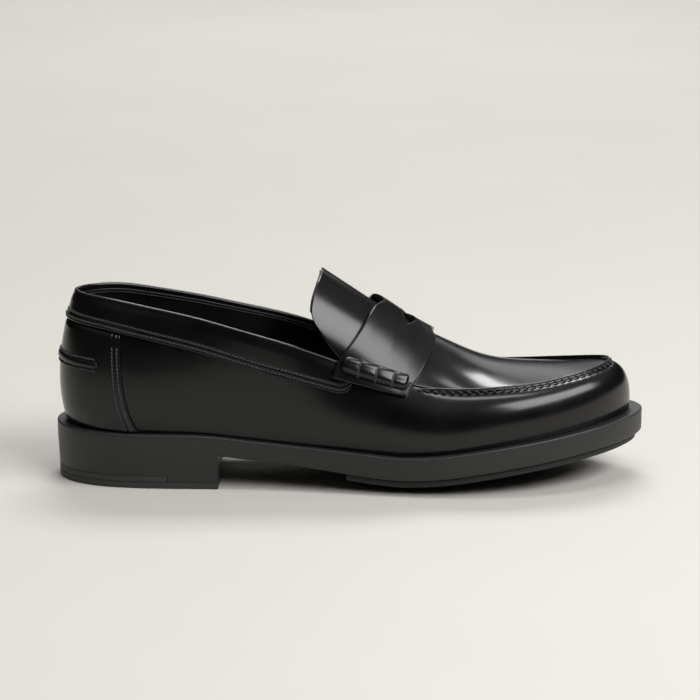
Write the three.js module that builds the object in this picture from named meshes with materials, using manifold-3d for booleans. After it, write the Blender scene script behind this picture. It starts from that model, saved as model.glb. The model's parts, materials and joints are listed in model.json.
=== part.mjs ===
// A right-foot penny loafer. Millimetres, +Z up, +X to the toe, +Y to the inside of the foot.
// The origin is on the floor, under the middle of the shoe's box.
import * as THREE from "three";
import Module from "manifold-3d";
import { mergeVertices } from "three/addons/utils/BufferGeometryUtils.js";

const wasm = await Module();
wasm.setup();

// ---------- Driving dimensions ----------

const LENGTH = 292; // the sole, heel to toe
const BALL_WIDTH = 103; // the sole, across the ball
const BACK_HEIGHT = 65.7; // the upper above the sole at the heel
const HEEL_RISE = 8; // the sole's rise from the ball to the heel seat
const TOE_SPRING = 13.6; // the sole's rise from the ball to the toe
const BAND = 11.2; // the sole band at the forefoot
const WAIST_BAND = 9.6; // the sole band at the waist and the heel
const BOTTOM_CROWN = 4.7; // how much higher the forefoot's edge stands than its middle
const TREAD = 3.2; // thickness of the forefoot tread
const TREAD_FROM = 6.2; // the tread's back edge, as a station
const TOP_LIFT = 3.2; // the heel's wearing layer
const HEEL_INSERT = { height: 3, depth: 6, reach: 3.1 }; // the strip let into the heel's side
const BREAST = 3.98; // the heel's front, as a station
const LEATHER = 1.2; // outer leather
const LINING = 1;
const STIFFENER = 1.5; // heel stiffener and toe puff
const GAP = 0.3; // clearance between two pieces that touch
const SEAM_LIP = 2; // how far the moccasin seam stands up
const LASTING_MARGIN = 12; // leather turned in under the insole board
const INSOLE_BOARD = 2.2;
const FOOTBED = 2.5;
const SOCK = 1;
const SHANK = { length: 100, width: 14, thickness: 1.2 };
const COLLAR_DEPTH = [14, 14.3, 15.2, 16.3, 17, 17.2, 15.2, 13]; // of the collar band, station by station
const STRAP = 2.4; // the saddle strap, two leathers thick
const TONGUE_LENGTH = 30; // beyond the strap's back edge, along the ridge
const SLOT = { across: 25, along: 7 }; // the penny slot in the strap
const ROLL = { height: 8.4, proud: 3.4, lobes: 4 };
const THREAD = 0.9;
const TAB = { reach: 1.7, drop: 34, height: 3.2, thickness: 0.7 }; // the pull strip round the heel

// ---------- The last, drawn at its reference size and graded ----------

const REFERENCE = { length: 292, width: 103, back: 65.7 };
const gradeX = LENGTH / REFERENCE.length;
const gradeY = BALL_WIDTH / REFERENCE.width;
const gradeZ = BACK_HEIGHT / REFERENCE.back;

// Stations run from the back of the heel round the outside of the foot to the toe, and back round the inside.
// rim: the sole's outline. ledge: from there in to the upper. top: the upper's edge, x, y and height over the
// sole: the topline, then the moccasin seam. low and high: the handles of the wall's curve, out and up from
// the sole, and out and down from the top.
const STATIONS = [
  { rim: [-146, 0], ledge: 6.3, top: [-134.6, 0, 65.7], low: [4.7, 14], high: [9.8, 30] },
  { rim: [-138, -20], ledge: 5.6, top: [-128, -12.5, 65.5], low: [4.7, 14], high: [10.3, 28] },
  { rim: [-118, -31], ledge: 4, top: [-112, -21.5, 64.5], low: [4, 14], high: [9, 26] },
  { rim: [-92, -34.5], ledge: 3.6, top: [-88, -25.8, 60.2], low: [2.5, 14], high: [6, 24] },
  { rim: [-64, -35.5], ledge: 3.4, top: [-60, -29.8, 55], low: [1.5, 14], high: [3, 20] },
  { rim: [-36, -37.5], ledge: 3.4, top: [-32, -33, 50.2], low: [1.5, 13], high: [2.5, 18] },
  { rim: [-8, -42], ledge: 3.6, top: [-4, -33.5, 42.8], low: [2, 12], high: [5, 14] },
  { rim: [20, -47.5], ledge: 4, top: [22, -35.5, 35.2], low: [3, 11], high: [8, 9] },
  { rim: [47, -51.2], ledge: 4.2, top: [46, -36, 29.2], low: [3, 10], high: [9.5, 4] },
  { rim: [74, -50], ledge: 4.4, top: [70, -35.5, 26.1], low: [2.5, 10], high: [10, 2] },
  { rim: [100, -43.5], ledge: 4.8, top: [93, -30, 24.4], low: [2, 10], high: [10, 1] },
  { rim: [124, -30.5], ledge: 5.4, top: [113, -20, 24.2], low: [1.5, 10], high: [10.5, 0.6] },
  { rim: [140, -13], ledge: 5.8, top: [124.5, -8.5, 24.3], low: [1, 10.5], high: [10.6, 0.4] },
  { rim: [146, 3], ledge: 6.4, top: [128, 2, 24.5], low: [1, 10.5], high: [10.5, 0.4] },
  { rim: [141, 18], ledge: 5.8, top: [125, 11.5, 23.5], low: [1, 10.5], high: [10.6, 0.4] },
  { rim: [127, 33], ledge: 5.4, top: [113, 21.5, 22.3], low: [1.5, 10], high: [10.5, 0.6] },
  { rim: [104, 46], ledge: 4.8, top: [93, 30.5, 22.3], low: [2, 10], high: [10, 1] },
  { rim: [78, 51], ledge: 4.4, top: [70, 35.5, 23.9], low: [2.5, 10], high: [10, 2] },
  { rim: [51, 50], ledge: 4.2, top: [46, 36, 28.8], low: [3, 10], high: [9, 4] },
  { rim: [24, 42], ledge: 3.6, top: [22, 36, 36], low: [3, 11], high: [6, 9] },
  { rim: [-4, 34.5], ledge: 2.6, top: [-4, 33.5, 43.8], low: [2.5, 12], high: [4, 14] },
  { rim: [-34, 31.5], ledge: 2.2, top: [-32, 33, 51], low: [2, 13], high: [2, 18] },
  { rim: [-64, 32.5], ledge: 2.6, top: [-60, 29.8, 55.2], low: [2, 14], high: [3, 20] },
  { rim: [-92, 34], ledge: 3.4, top: [-88, 25.8, 60.2], low: [2.5, 14], high: [6, 24] },
  { rim: [-118, 31], ledge: 4, top: [-112, 21.5, 64.5], low: [4, 14], high: [9, 26] },
  { rim: [-138, 20], ledge: 5.6, top: [-128, 12.5, 65.5], low: [4.7, 14], high: [10.3, 28] },
];
const ROUND = STATIONS.length;
const COLUMNS = 72; // of points, round the whole shoe
const COLUMN = ROUND / COLUMNS;
const TOE = ROUND / 2; // the toe's station; k counts stations from here, up to the vamp point
const VAMP = 7; // where the topline's two sides meet the strap, as k
// The ridge over the vamp, at k = 0 to VAMP: x, y and height over the sole.
const RIDGE = [
  [128, 2, 24.5],
  [125, 2, 24.4],
  [113, 2, 24.6],
  [93, 2.5, 27.3],
  [70, 3, 33],
  [49, 3, 44.6],
  [31, 2, 55.1],
  [11.3, 1, 66.7],
];
// Shares of HEEL_RISE and TOE_SPRING along the sole, at equal steps from the heel's back to the toe.
const HEEL_SHARE = [1.12, 1.05, 1, 0.97, 0.69, 0.42, 0.2, 0, 0, 0, 0, 0, 0];
const TOE_SHARE = [0, 0, 0, 0, 0, 0, 0, 0, 0.14, 0.4, 0.64, 0.87, 1];

// A smooth curve through values at whole numbers, closed on itself or with straight ends.
function spline(values, closed) {
  const n = values.length;
  const bend = new Array(n).fill(0);
  const first = closed ? 0 : 1;
  for (let pass = 0; pass < 60; pass++)
    for (let i = first; i < n - first; i++) {
      const before = (i + n - 1) % n;
      const after = (i + 1) % n;
      const turn = values[before] - 2 * values[i] + values[after];
      bend[i] = (6 * turn - bend[before] - bend[after]) / 4;
    }
  return (at) => {
    const whole = closed ? Math.floor(at) : Math.min(Math.max(Math.floor(at), 0), n - 2);
    const share = at - whole;
    const rest = 1 - share;
    const i = ((whole % n) + n) % n;
    const j = (i + 1) % n;
    const straight = rest * values[i] + share * values[j];
    return straight + ((rest ** 3 - rest) * bend[i] + (share ** 3 - share) * bend[j]) / 6;
  };
}
const around = (pick) => spline(STATIONS.map(pick), true);
const rimX = around((s) => s.rim[0] * gradeX);
const rimY = around((s) => s.rim[1] * gradeY);
const ledge = around((s) => s.ledge);
const topX = around((s) => s.top[0] * gradeX);
const topY = around((s) => s.top[1] * gradeY);
const topRise = around((s) => s.top[2] * gradeZ);
const lowOut = around((s) => s.low[0]);
const lowUp = around((s) => s.low[1]);
const highOut = around((s) => s.high[0]);
const highDown = around((s) => s.high[1]);
const ridgeX = spline(RIDGE.map((r) => r[0] * gradeX), false);
const ridgeY = spline(RIDGE.map((r) => r[1] * gradeY), false);
const ridgeRise = spline(RIDGE.map((r) => r[2] * gradeZ), false);
const heelShare = spline(HEEL_SHARE, false);
const toeShare = spline(TOE_SHARE, false);

const vec = (x, y, z) => new THREE.Vector3(x, y, z);
const lerp = THREE.MathUtils.lerp;
const smooth = (x, from, to) => {
  const share = THREE.MathUtils.clamp((x - from) / (to - from), 0, 1);
  return share * share * (3 - 2 * share);
};
const steps = (from, to, count) => Array.from({ length: count + 1 }, (_, i) => lerp(from, to, i / count));

// Height of the sole's top face at x.
function soleTop(x) {
  const at = (x / LENGTH + 0.5) * (HEEL_SHARE.length - 1);
  return BOTTOM_CROWN + TREAD + BAND + HEEL_RISE * Math.max(heelShare(at), 0) + TOE_SPRING * Math.max(toeShare(at), 0);
}
const bandThickness = (x) => lerp(WAIST_BAND, BAND, smooth(x / LENGTH, -0.12, 0.03));

// A small step along a station, for slopes.
const DELTA = 0.01;
function outward(u) {
  const dx = rimX(u + DELTA) - rimX(u - DELTA);
  const dy = rimY(u + DELTA) - rimY(u - DELTA);
  return vec(dy, -dx, 0).normalize();
}
// The sole's outline at station u, moved in.
function outline(u, inset) {
  return vec(rimX(u), rimY(u), 0).addScaledVector(outward(u), -inset);
}
function feather(u) {
  const p = outline(u, ledge(u));
  return p.setZ(soleTop(p.x) + GAP);
}
function topEdge(u) {
  const x = topX(u);
  return vec(x, topY(u), soleTop(x) + topRise(u));
}
// The wall's outer face: v is 0 at the sole and 1 at the topline or the seam.
function wall(u, v) {
  const out = outward(u);
  const a = feather(u);
  const d = topEdge(u);
  const b = a.clone().addScaledVector(out, lowOut(u)).add(vec(0, 0, lowUp(u)));
  const c = d.clone().addScaledVector(out, highOut(u)).add(vec(0, 0, -highDown(u)));
  const w = 1 - v;
  return a.multiplyScalar(w ** 3).addScaledVector(b, 3 * w * w * v).addScaledVector(c, 3 * w * v * v)
    .addScaledVector(d, v ** 3);
}
function wallNormal(u, v) {
  const along = wall(u + DELTA, v).sub(wall(u - DELTA, v));
  const up = wall(u, Math.min(v + DELTA, 1)).sub(wall(u, Math.max(v - DELTA, 0)));
  return along.cross(up).normalize();
}
const wallAt = (u, v, offset) => wall(u, v).addScaledVector(wallNormal(u, v), offset);

// The vamp's arch at k, between the two seams: t is -1 on the outside of the foot and 1 on the inside.
// Past the vamp point, k counts on along the tongue, whose length is one station.
const ridge = (k) => vec(ridgeX(k), ridgeY(k), soleTop(ridgeX(k)) + ridgeRise(k));
const TONGUE_TAPER = 0.18;
const TONGUE_SQUARE = 0.5; // share of the tongue's length before its corners start to round
const TONGUE_CORNER = 3.4; // the corners' superellipse
function arch(k, t, taper = TONGUE_TAPER) {
  const base = Math.min(k, VAMP);
  const past = k - base;
  const crest = ridge(base);
  const seam = topEdge(t < 0 ? TOE - base : TOE + base);
  const side = seam.clone().sub(crest);
  const half = Math.abs(side.y);
  const down = vec(side.x, 0, side.z);
  const drop = Math.max(down.length(), 1e-6);
  down.divideScalar(drop);
  const radius = (half * half + drop * drop) / (2 * drop);
  const angle = Math.abs(t) * 2 * Math.atan2(drop, half) * (1 - taper * past);
  const bend = taper > 0 ? (1 - Math.min(Math.abs(t), 1) ** TONGUE_CORNER) ** (1 / TONGUE_CORNER) : 1;
  const rounding = lerp(TONGUE_SQUARE, 1, bend);
  const run = ridge(VAMP).sub(ridge(VAMP - DELTA)).normalize();
  run.y = 0;
  return crest.add(vec(0, Math.sign(t) * radius * Math.sin(angle), 0))
    .addScaledVector(down, radius * (1 - Math.cos(angle)))
    .addScaledVector(run, past * rounding * TONGUE_LENGTH);
}
function archNormal(k, t) {
  const across = arch(k, Math.min(t + DELTA, 1)).sub(arch(k, Math.max(t - DELTA, -1)));
  const back = arch(k + DELTA, t).sub(arch(k - DELTA, t));
  return across.cross(back).normalize();
}
const archAt = (k, t, offset) => arch(k, t).addScaledVector(archNormal(k, t), offset);
const archHalf = (k) => (topY(TOE + Math.min(k, VAMP)) - topY(TOE - Math.min(k, VAMP))) / 2;

// ---------- Solids ----------

// A closed mesh from points and triangles, faces out, with doubled points and empty triangles taken out.
function closed(points, triangles) {
  let volume = 0;
  for (const [a, b, c] of triangles) volume += points[a].dot(points[b].clone().cross(points[c]));
  const soup = [];
  for (const [a, b, c] of triangles)
    for (const i of volume > 0 ? [a, b, c] : [a, c, b]) soup.push(...points[i].toArray());
  const raw = new THREE.BufferGeometry().setAttribute("position", new THREE.Float32BufferAttribute(soup, 3));
  const merged = mergeVertices(raw, 1e-3);
  const index = [];
  const old = merged.index.array;
  for (let i = 0; i < old.length; i += 3)
    if (old[i] !== old[i + 1] && old[i + 1] !== old[i + 2] && old[i] !== old[i + 2])
      index.push(old[i], old[i + 1], old[i + 2]);
  merged.setIndex(index);
  return merged;
}

// A solid through loops of points, one after another. Its ends are capped unless it is a ring or they meet.
function loft(loops, { ring = false, caps = [true, true] } = {}) {
  const n = loops[0].length;
  const points = loops.flat();
  const triangles = [];
  const last = ring ? loops.length : loops.length - 1;
  for (let i = 0; i < last; i++)
    for (let j = 0; j < n; j++) {
      const a = i * n + j;
      const b = i * n + ((j + 1) % n);
      const c = ((i + 1) % loops.length) * n + j;
      const d = ((i + 1) % loops.length) * n + ((j + 1) % n);
      triangles.push([a, b, d], [a, d, c]);
    }
  // A loop goes out along one face and back along the other, so an end is capped as a strip.
  const end = (loops.length - 1) * n;
  for (let j = 0; j < n / 2 - 1; j++) {
    const [a, b, c, d] = [j, j + 1, n - 2 - j, n - 1 - j];
    if (!ring && caps[0]) triangles.push([a, c, b], [a, d, c]);
    if (!ring && caps[1]) triangles.push([end + a, end + b, end + c], [end + a, end + c, end + d]);
  }
  return closed(points, triangles);
}

// A sheet of leather on a face: at(p, q, offset) gives its points, between the offsets inner and outer.
function sheet(ps, qs, at, outer, inner, ring = false) {
  const level = (offset, p, q) => (typeof offset === "function" ? offset(p, q) : offset);
  return loft(
    ps.map((p) => {
      const row = typeof qs === "function" ? qs(p) : qs;
      const face = (offset) => row.map((q) => at(p, q, level(offset, p, q)));
      return [...face(outer), ...face(inner).reverse()];
    }),
    { ring },
  );
}

function solid(geometry) {
  return new wasm.Manifold(
    new wasm.Mesh({
      numProp: 3,
      vertProperties: new Float32Array(geometry.attributes.position.array),
      triVerts: new Uint32Array(geometry.index.array),
    }),
  );
}
function geometryOf(manifold) {
  const mesh = manifold.getMesh();
  const geometry = new THREE.BufferGeometry();
  geometry.setAttribute("position", new THREE.BufferAttribute(mesh.vertProperties, 3));
  geometry.setIndex(new THREE.BufferAttribute(mesh.triVerts, 1));
  return geometry;
}

// ---------- The sole ----------

const SIDE = COLUMNS / 2; // columns along one side, heel to toe
// A plate between two faces. Its points lie at each inset from the outline and on the middle line, and each
// face is a height over (x, inset).
function plate(from, to, count, insets, top, bottom) {
  const at = (s, inset) => (typeof inset === "function" ? inset(s) : inset);
  const loops = steps(from, to, count).map((s) => {
    const face = (height) => {
      const left = insets.map((i) => [outline(s, at(s, i)), i]);
      const right = insets.map((i) => [outline(ROUND - s, at(s, i)), i]).reverse();
      const middle = left.at(-1)[0].clone().lerp(right[0][0], 0.5);
      return [...left, [middle, insets.at(-1)], ...right].map(([p, i]) => p.clone().setZ(height(p.x, i)));
    };
    return [...face(top), ...face(bottom).reverse()];
  });
  return loft(loops, { caps: [from > 0, to < TOE] });
}
// The share of the crown at each inset from the outline.
const CROWN = [[0, 0], [3, 0.14], [9, 0.55], [20, 1]];
const crownInsets = CROWN.map(([inset]) => inset);
const crownShare = (inset) => CROWN.find(([at]) => at === inset)[1];
const bandEdge = (x) => soleTop(x) - bandThickness(x);
const bandBottom = (x, inset) => bandEdge(x) - BOTTOM_CROWN * crownShare(inset) * smooth(x / LENGTH, -0.1, 0.06);

const heelBlock = (bottom, top) => plate(0, BREAST, 12, [0], top, bottom);
function soleUnit() {
  const band = plate(0, TOE, SIDE, crownInsets, soleTop, bandBottom);
  const heel = heelBlock(() => TOP_LIFT + GAP, (x) => soleTop(x) - WAIST_BAND / 2);
  return geometryOf(solid(band).add(solid(heel)).subtract(solid(heelStrip(GAP, -1))));
}
// The strip let into the heel's side, from the outside round the back to the inside.
function heelStrip(grow, out) {
  const reach = HEEL_INSERT.reach + grow / 25;
  const low = TOP_LIFT + GAP - (grow ? 1 : 0);
  const high = TOP_LIFT + GAP + HEEL_INSERT.height + grow;
  return loft(steps(-reach, reach, 20).map((u) => {
    const face = outline(u, out);
    const back = outline(u, HEEL_INSERT.depth + grow);
    return [face.clone().setZ(low), face.clone().setZ(high), back.clone().setZ(high), back.clone().setZ(low)];
  }));
}
const tread = () => plate(TREAD_FROM, TOE, 28, crownInsets.slice(1),
  (x, inset) => bandBottom(x, inset) - GAP, (x, inset) => bandBottom(x, inset) - TREAD);

// ---------- Inside the bottom ----------

const boardBottom = GAP + LEATHER + GAP;
const footbedBottom = boardBottom + INSOLE_BOARD + GAP;
const sockBottom = footbedBottom + FOOTBED + GAP;
const overSole = (height) => (x) => soleTop(x) + height;
const wallInset = LEATHER + 2 * GAP;
const liningInset = wallInset + STIFFENER + LINING + 3 * GAP;
function bottomLayer(low, thickness, inset) {
  return plate(0, TOE, 26, [(s) => ledge(s) + inset], overSole(low + thickness), overSole(low));
}
function fillerLayer() {
  const inset = (s) => ledge(s) + LASTING_MARGIN + 2 * GAP;
  return plate(6.4, 11.2, 12, [inset], overSole(GAP + LEATHER), overSole(GAP));
}
function shankStrip() {
  const middle = -58 * gradeX;
  const rows = steps(middle - SHANK.length / 2, middle + SHANK.length / 2, 10);
  return loft(rows.map((x) => {
    const low = soleTop(x) + GAP;
    const half = SHANK.width / 2;
    return [
      vec(x, -half, low + SHANK.thickness),
      vec(x, half, low + SHANK.thickness),
      vec(x, half, low),
      vec(x, -half, low),
    ];
  }));
}

// ---------- The upper ----------

const onColumns = (from, to) => {
  const inner = steps(0, ROUND * 2, COLUMNS * 2).map((u) => u - ROUND).filter((u) => u > from + 0.05 && u < to - 0.05);
  return [from, ...inner, to];
};
const ROWS = [0, 0.17, 0.34, 0.48, 0.62, 0.74, 0.86, 1];
const rowsWithin = (low, high) => ROWS.filter((v) => v >= low && v <= high);
const fromToe = (u) => Math.abs(u - TOE);

// The wall: turned in under the insole board, up over the last, and up again at the seam.
function vampWall() {
  const inward = LASTING_MARGIN;
  const loops = steps(0, ROUND - COLUMN, COLUMNS - 1).map((u) => {
    const out = outward(u);
    const foot = feather(u);
    const tucked = foot.clone().addScaledVector(out, -inward);
    tucked.z = soleTop(tucked.x) + GAP;
    const up = (p, h) => p.clone().add(vec(0, 0, h));
    const end = wall(u, 1);
    const normal = wallNormal(u, 1);
    const tangent = wall(u, 1).sub(wall(u, 1 - DELTA)).normalize();
    const lip = SEAM_LIP * smooth(fromToe(u), 5.6, 5.1) + 0.05;
    const root = end.clone().addScaledVector(tangent, -LEATHER);
    const outer = [tucked, ...ROWS.slice(0, -1).map((v) => wall(u, v)), root, root.clone().addScaledVector(normal, lip)];
    const inner = [
      up(tucked, LEATHER),
      up(foot.clone().addScaledVector(out, -LEATHER), LEATHER),
      ...ROWS.slice(1, -1).map((v) => wallAt(u, v, -LEATHER)),
      wallAt(u, 1, -LEATHER),
      end.clone().addScaledVector(normal, lip),
    ];
    return [...outer, ...inner.reverse()];
  });
  return loft(loops, { ring: true });
}

// Where the vamp's sheet ends, short of the seam: at the toe the seam crosses its rows at a slant.
const apronEdge = (k, short) => 1 - (short * (1 + 0.8 / k ** 2)) / archHalf(k);
const apronRows = [...steps(0.62, VAMP, 15), ...steps(VAMP + 0.25, VAMP + 1, 3)];
const apronColumns = (short) => (k) => steps(-apronEdge(k, short), apronEdge(k, short), 14);
const apron = () => sheet(apronRows, apronColumns(2 * GAP), archAt, 0, -LEATHER);
const apronLining = () =>
  sheet(apronRows.slice(2), apronColumns(4), archAt, -LEATHER - 2 * GAP, -LEATHER - 2 * GAP - LINING);

// Where the wall is a given drop below its top edge, as v.
function below(u, drop) {
  const level = topEdge(u).z - drop;
  let [low, high] = [0, 1];
  for (let pass = 0; pass < 20; pass++) {
    const middle = (low + high) / 2;
    if (wall(u, middle).z < level) low = middle;
    else high = middle;
  }
  return low;
}
const COLLAR_END = 6.25;
const collarDepth = spline(COLLAR_DEPTH, false);
const collarLow = (u) => below(u, collarDepth(Math.min(Math.abs(u), Math.abs(ROUND - u))));
const overlay = LEATHER + GAP;
function collarBand() {
  const us = onColumns(-COLLAR_END, COLLAR_END);
  return sheet(us, (u) => steps(collarLow(u), 1, 4), wallAt, overlay, GAP);
}
const counterFront = (v) => 2.08 + 0.5 * (1 - v) ** 2;
function counterCover() {
  const place = (share, v, offset) => wallAt(share * counterFront(v), v, offset);
  const rows = steps(0.03, 1, 5);
  const shares = steps(-1, 1, 18);
  return sheet(shares, (share) => {
    const top = collarLow(share * counterFront(0.7)) - 0.012;
    return rows.map((r) => r * top);
  }, place, overlay, GAP);
}
const heelTab = () => sheet(
  steps(-TAB.reach, TAB.reach, 14), (u) => steps(below(u, TAB.drop), below(u, TAB.drop - TAB.height), 2), wallAt,
  overlay + GAP + TAB.thickness, overlay + GAP,
);

// The stiffeners lie between the wall and the lining, which goes round them.
const HEEL_STIFF = { reach: 3, low: 0.17, high: 0.62 };
const TOE_PUFF = { reach: 2.4, low: 0.17, high: 0.86 };
const stiffLow = -LEATHER - GAP - STIFFENER;
const heelStiffener = () => sheet(
  onColumns(-HEEL_STIFF.reach, HEEL_STIFF.reach),
  rowsWithin(HEEL_STIFF.low, HEEL_STIFF.high), wallAt, -LEATHER - GAP, stiffLow,
);
const toePuff = () => sheet(
  onColumns(TOE - TOE_PUFF.reach, TOE + TOE_PUFF.reach),
  rowsWithin(TOE_PUFF.low, TOE_PUFF.high), wallAt, -LEATHER - GAP, stiffLow,
);
function liningFace(u, v) {
  const back = Math.min(Math.abs(u), Math.abs(u - ROUND));
  const heel = smooth(back, HEEL_STIFF.reach + 0.5, HEEL_STIFF.reach) * smooth(v, HEEL_STIFF.high + 0.12, HEEL_STIFF.high);
  const toe = smooth(fromToe(u), TOE_PUFF.reach + 0.5, TOE_PUFF.reach);
  return -LEATHER - GAP - Math.max(heel, toe) * (STIFFENER + GAP);
}
const LINING_LOW = 0.17;
const GRIP_END = 2.45;
const VAMP_LINING = 6.3;
const lining = (from, to, high = 1) => sheet(
  onColumns(from, to), rowsWithin(LINING_LOW, high), wallAt,
  liningFace, (u, v) => liningFace(u, v) - LINING,
);
const joint = 0.03; // half the gap between two linings, in stations

// ---------- The saddle strap ----------

// Where a section of the strap lies at k, from one lower edge to the other: t within +-1 is on the arch, and
// beyond that on the wall.
const WALL_REACH = { outside: 0.2, inside: 0.2 }; // how far down the wall, as v
const SEAM_SHARE = 0.86; // share of the strap's half that lies on the arch
function saddle(k, t) {
  const size = Math.abs(t);
  const side = Math.sign(t) || 1;
  if (size <= SEAM_SHARE) return arch(k, (side * size) / SEAM_SHARE, 0);
  const reach = side < 0 ? WALL_REACH.outside : WALL_REACH.inside;
  const down = ((size - SEAM_SHARE) / (1 - SEAM_SHARE)) * reach;
  return wall(side < 0 ? TOE - k : TOE + k, 1 - down);
}
function saddleNormal(k, t) {
  const wide = 0.06; // rounds the strap over the seam
  const acrossIt = saddle(k, Math.min(t + wide, 1)).sub(saddle(k, Math.max(t - wide, -1)));
  const back = saddle(k + DELTA, t).sub(saddle(k - DELTA, t));
  return acrossIt.cross(back).normalize();
}
const saddleAt = (k, t, offset) => saddle(k, t).addScaledVector(saddleNormal(k, t), offset);
const strapUnder = (k) => GAP + (LEATHER + GAP) * smooth(k, 6.15, 6.6);
const SCALLOP = { half: 0.3, depth: 0.16 };
const scallop = (t) => (Math.abs(t) < SCALLOP.half ? SCALLOP.depth * Math.cos((t / SCALLOP.half) * Math.PI / 2) ** 2 : 0);
const strapFront = (t) => lerp(5.36, 5.78, t * t) + scallop(t);
const strapBack = (t) => lerp(7, 7.15, t ** 4) - scallop(t);
const onStrap = (t, share) => lerp(strapFront(t), strapBack(t), share);
function saddleStrap() {
  const ts = steps(-1, 1, 34);
  const shares = steps(0, 1, 7);
  const under = (t, share) => strapUnder(onStrap(t, share));
  const place = (t, share, offset) => saddleAt(onStrap(t, share), t, offset);
  const whole = sheet(ts, shares, place, (t, share) => under(t, share) + STRAP, under);
  return geometryOf(solid(whole).subtract(solid(pennySlot())));
}
// A lens-shaped cutter through the strap, square to the ridge.
function pennySlot() {
  const half = SLOT.across / 2;
  const rise = SLOT.along / 2;
  const lens = new THREE.Shape();
  lens.moveTo(-half, 0);
  lens.quadraticCurveTo(0, 2 * rise, half, 0);
  lens.quadraticCurveTo(0, -2 * rise, -half, 0);
  const cutter = new THREE.ExtrudeGeometry(lens, { depth: 16, bevelEnabled: false, curveSegments: 8 });
  cutter.deleteAttribute("normal");
  cutter.deleteAttribute("uv");
  const k = (strapFront(0) + strapBack(0)) / 2;
  const up = saddleNormal(k, 0);
  const side = vec(0, 1, 0);
  const place = new THREE.Matrix4().makeBasis(side, up.clone().cross(side), up)
    .setPosition(saddle(k, 0).addScaledVector(up, -8));
  return mergeVertices(cutter.applyMatrix4(place), 1e-3);
}

// ---------- Beef rolls ----------

const ROLL_FROM = 0.04;
const ROLL_TO = 0.96;
const ROLL_AT = 0.87; // the roll's middle, as t on the strap
// A point over the strap: q runs across the roll from -1 to 1, height counts from the strap's face.
function overStrap(side, share, q, height) {
  const probe = 0.02;
  const k = onStrap(side * ROLL_AT, share);
  const unit = saddle(k, side * (ROLL_AT + probe)).distanceTo(saddle(k, side * (ROLL_AT - probe))) / (2 * probe);
  const half = (ROLL.height / 2) * rollTaper(share);
  const t = side * (ROLL_AT + (q * half) / unit);
  return saddleAt(k, t, strapUnder(k) + STRAP + GAP + height);
}
const alongRoll = (share) => (share - ROLL_FROM) / (ROLL_TO - ROLL_FROM);
const rollTaper = (share) => Math.sqrt(Math.max(1 - Math.abs(2 * alongRoll(share) - 1) ** 8, 0.2));
function rollHeight(share, q) {
  const lobe = lerp(0.86, 1, Math.abs(Math.sin(alongRoll(share) * Math.PI * ROLL.lobes)));
  return ROLL.proud * lobe * rollTaper(share) * Math.sqrt(Math.max(1 - q * q, 0.01));
}
const beefRoll = (side) => sheet(
  steps(ROLL_FROM, ROLL_TO, 20), [-1, -0.94, -0.72, -0.35, 0, 0.35, 0.72, 0.94, 1],
  (share, q, height) => overStrap(side, share, q, height), rollHeight, 0,
);
// One thread over the roll, in the valley between two lobes.
function rollThread(side, valley) {
  const share = lerp(ROLL_FROM, ROLL_TO, valley / ROLL.lobes);
  const line = steps(-1, 1, 8).map((x) => {
    const q = Math.sin((x * Math.PI) / 2);
    const reach = 1 + (GAP + THREAD) / ROLL.height;
    return overStrap(side, share, q * reach, rollHeight(share, q) + GAP + THREAD / 2);
  });
  const root = overStrap(side, share, 0, 0);
  const ahead = overStrap(side, share + 0.01, 0, 0).sub(root).normalize();
  return loft(line.map((p) => {
    const out = p.clone().sub(root).normalize();
    return steps(0, 5, 5).map((i) => {
      const angle = (i / 6) * 2 * Math.PI;
      return p.clone().addScaledVector(out, (THREAD / 2) * Math.cos(angle))
        .addScaledVector(ahead, (THREAD / 2) * Math.sin(angle));
    });
  }));
}

// ---------- Materials and the assembly ----------

const finish = (color, roughness, metalness = 0) => new THREE.MeshStandardMaterial({ color, roughness, metalness });
const LOOKS = {
  leather: finish(0x0d0d0e, 0.25),
  lining: finish(0x111111, 0.6),
  rubber: finish(0x2b2b2c, 0.65),
  tread: finish(0x1d1d1d, 0.75),
  thread: finish(0x151515, 0.7),
  board: finish(0x8a6f4d, 0.9),
  foam: finish(0x3a3a3a, 0.95),
  cork: finish(0xa77b4c, 0.95),
  stiffener: finish(0xb9a98a, 0.85),
  steel: finish(0x9a9da0, 0.35, 1),
};

const loafer = new THREE.Group();
function add(name, look, geometry) {
  const mesh = new THREE.Mesh(geometry, LOOKS[look]);
  mesh.name = name;
  loafer.add(mesh);
}

add("sole_unit", "rubber", soleUnit());
add("forefoot_tread", "tread", tread());
add("heel_top_lift", "tread", heelBlock(() => 0, () => TOP_LIFT));
add("heel_insert", "tread", heelStrip(0, 0));
add("shank", "steel", shankStrip());
add("bottom_filler", "cork", fillerLayer());
add("insole_board", "board", bottomLayer(boardBottom, INSOLE_BOARD, wallInset));
add("footbed", "foam", bottomLayer(footbedBottom, FOOTBED, liningInset));
add("sock_lining", "lining", bottomLayer(sockBottom, SOCK, liningInset));
add("vamp_wall", "leather", vampWall());
add("apron", "leather", apron());
add("collar_band", "leather", collarBand());
add("counter_cover", "leather", counterCover());
add("heel_tab", "leather", heelTab());
add("heel_stiffener", "stiffener", heelStiffener());
add("toe_puff", "stiffener", toePuff());
add("heel_grip_lining", "lining", lining(-GRIP_END + joint, GRIP_END - joint));
add("quarter_lining_outside", "lining", lining(GRIP_END + joint, VAMP_LINING - joint));
add("quarter_lining_inside", "lining", lining(ROUND - VAMP_LINING + joint, ROUND - GRIP_END - joint));
add("vamp_lining", "lining", lining(VAMP_LINING + joint, ROUND - VAMP_LINING - joint, 0.86));
add("apron_lining", "lining", apronLining());
add("saddle_strap", "leather", saddleStrap());
for (const [where, side] of [["outside", -1], ["inside", 1]]) {
  add("beef_roll_" + where, "leather", beefRoll(side));
  for (let valley = 1; valley < ROLL.lobes; valley++)
    add("roll_thread_" + where + "_" + valley, "thread", rollThread(side, valley));
}

export default loafer;
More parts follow.
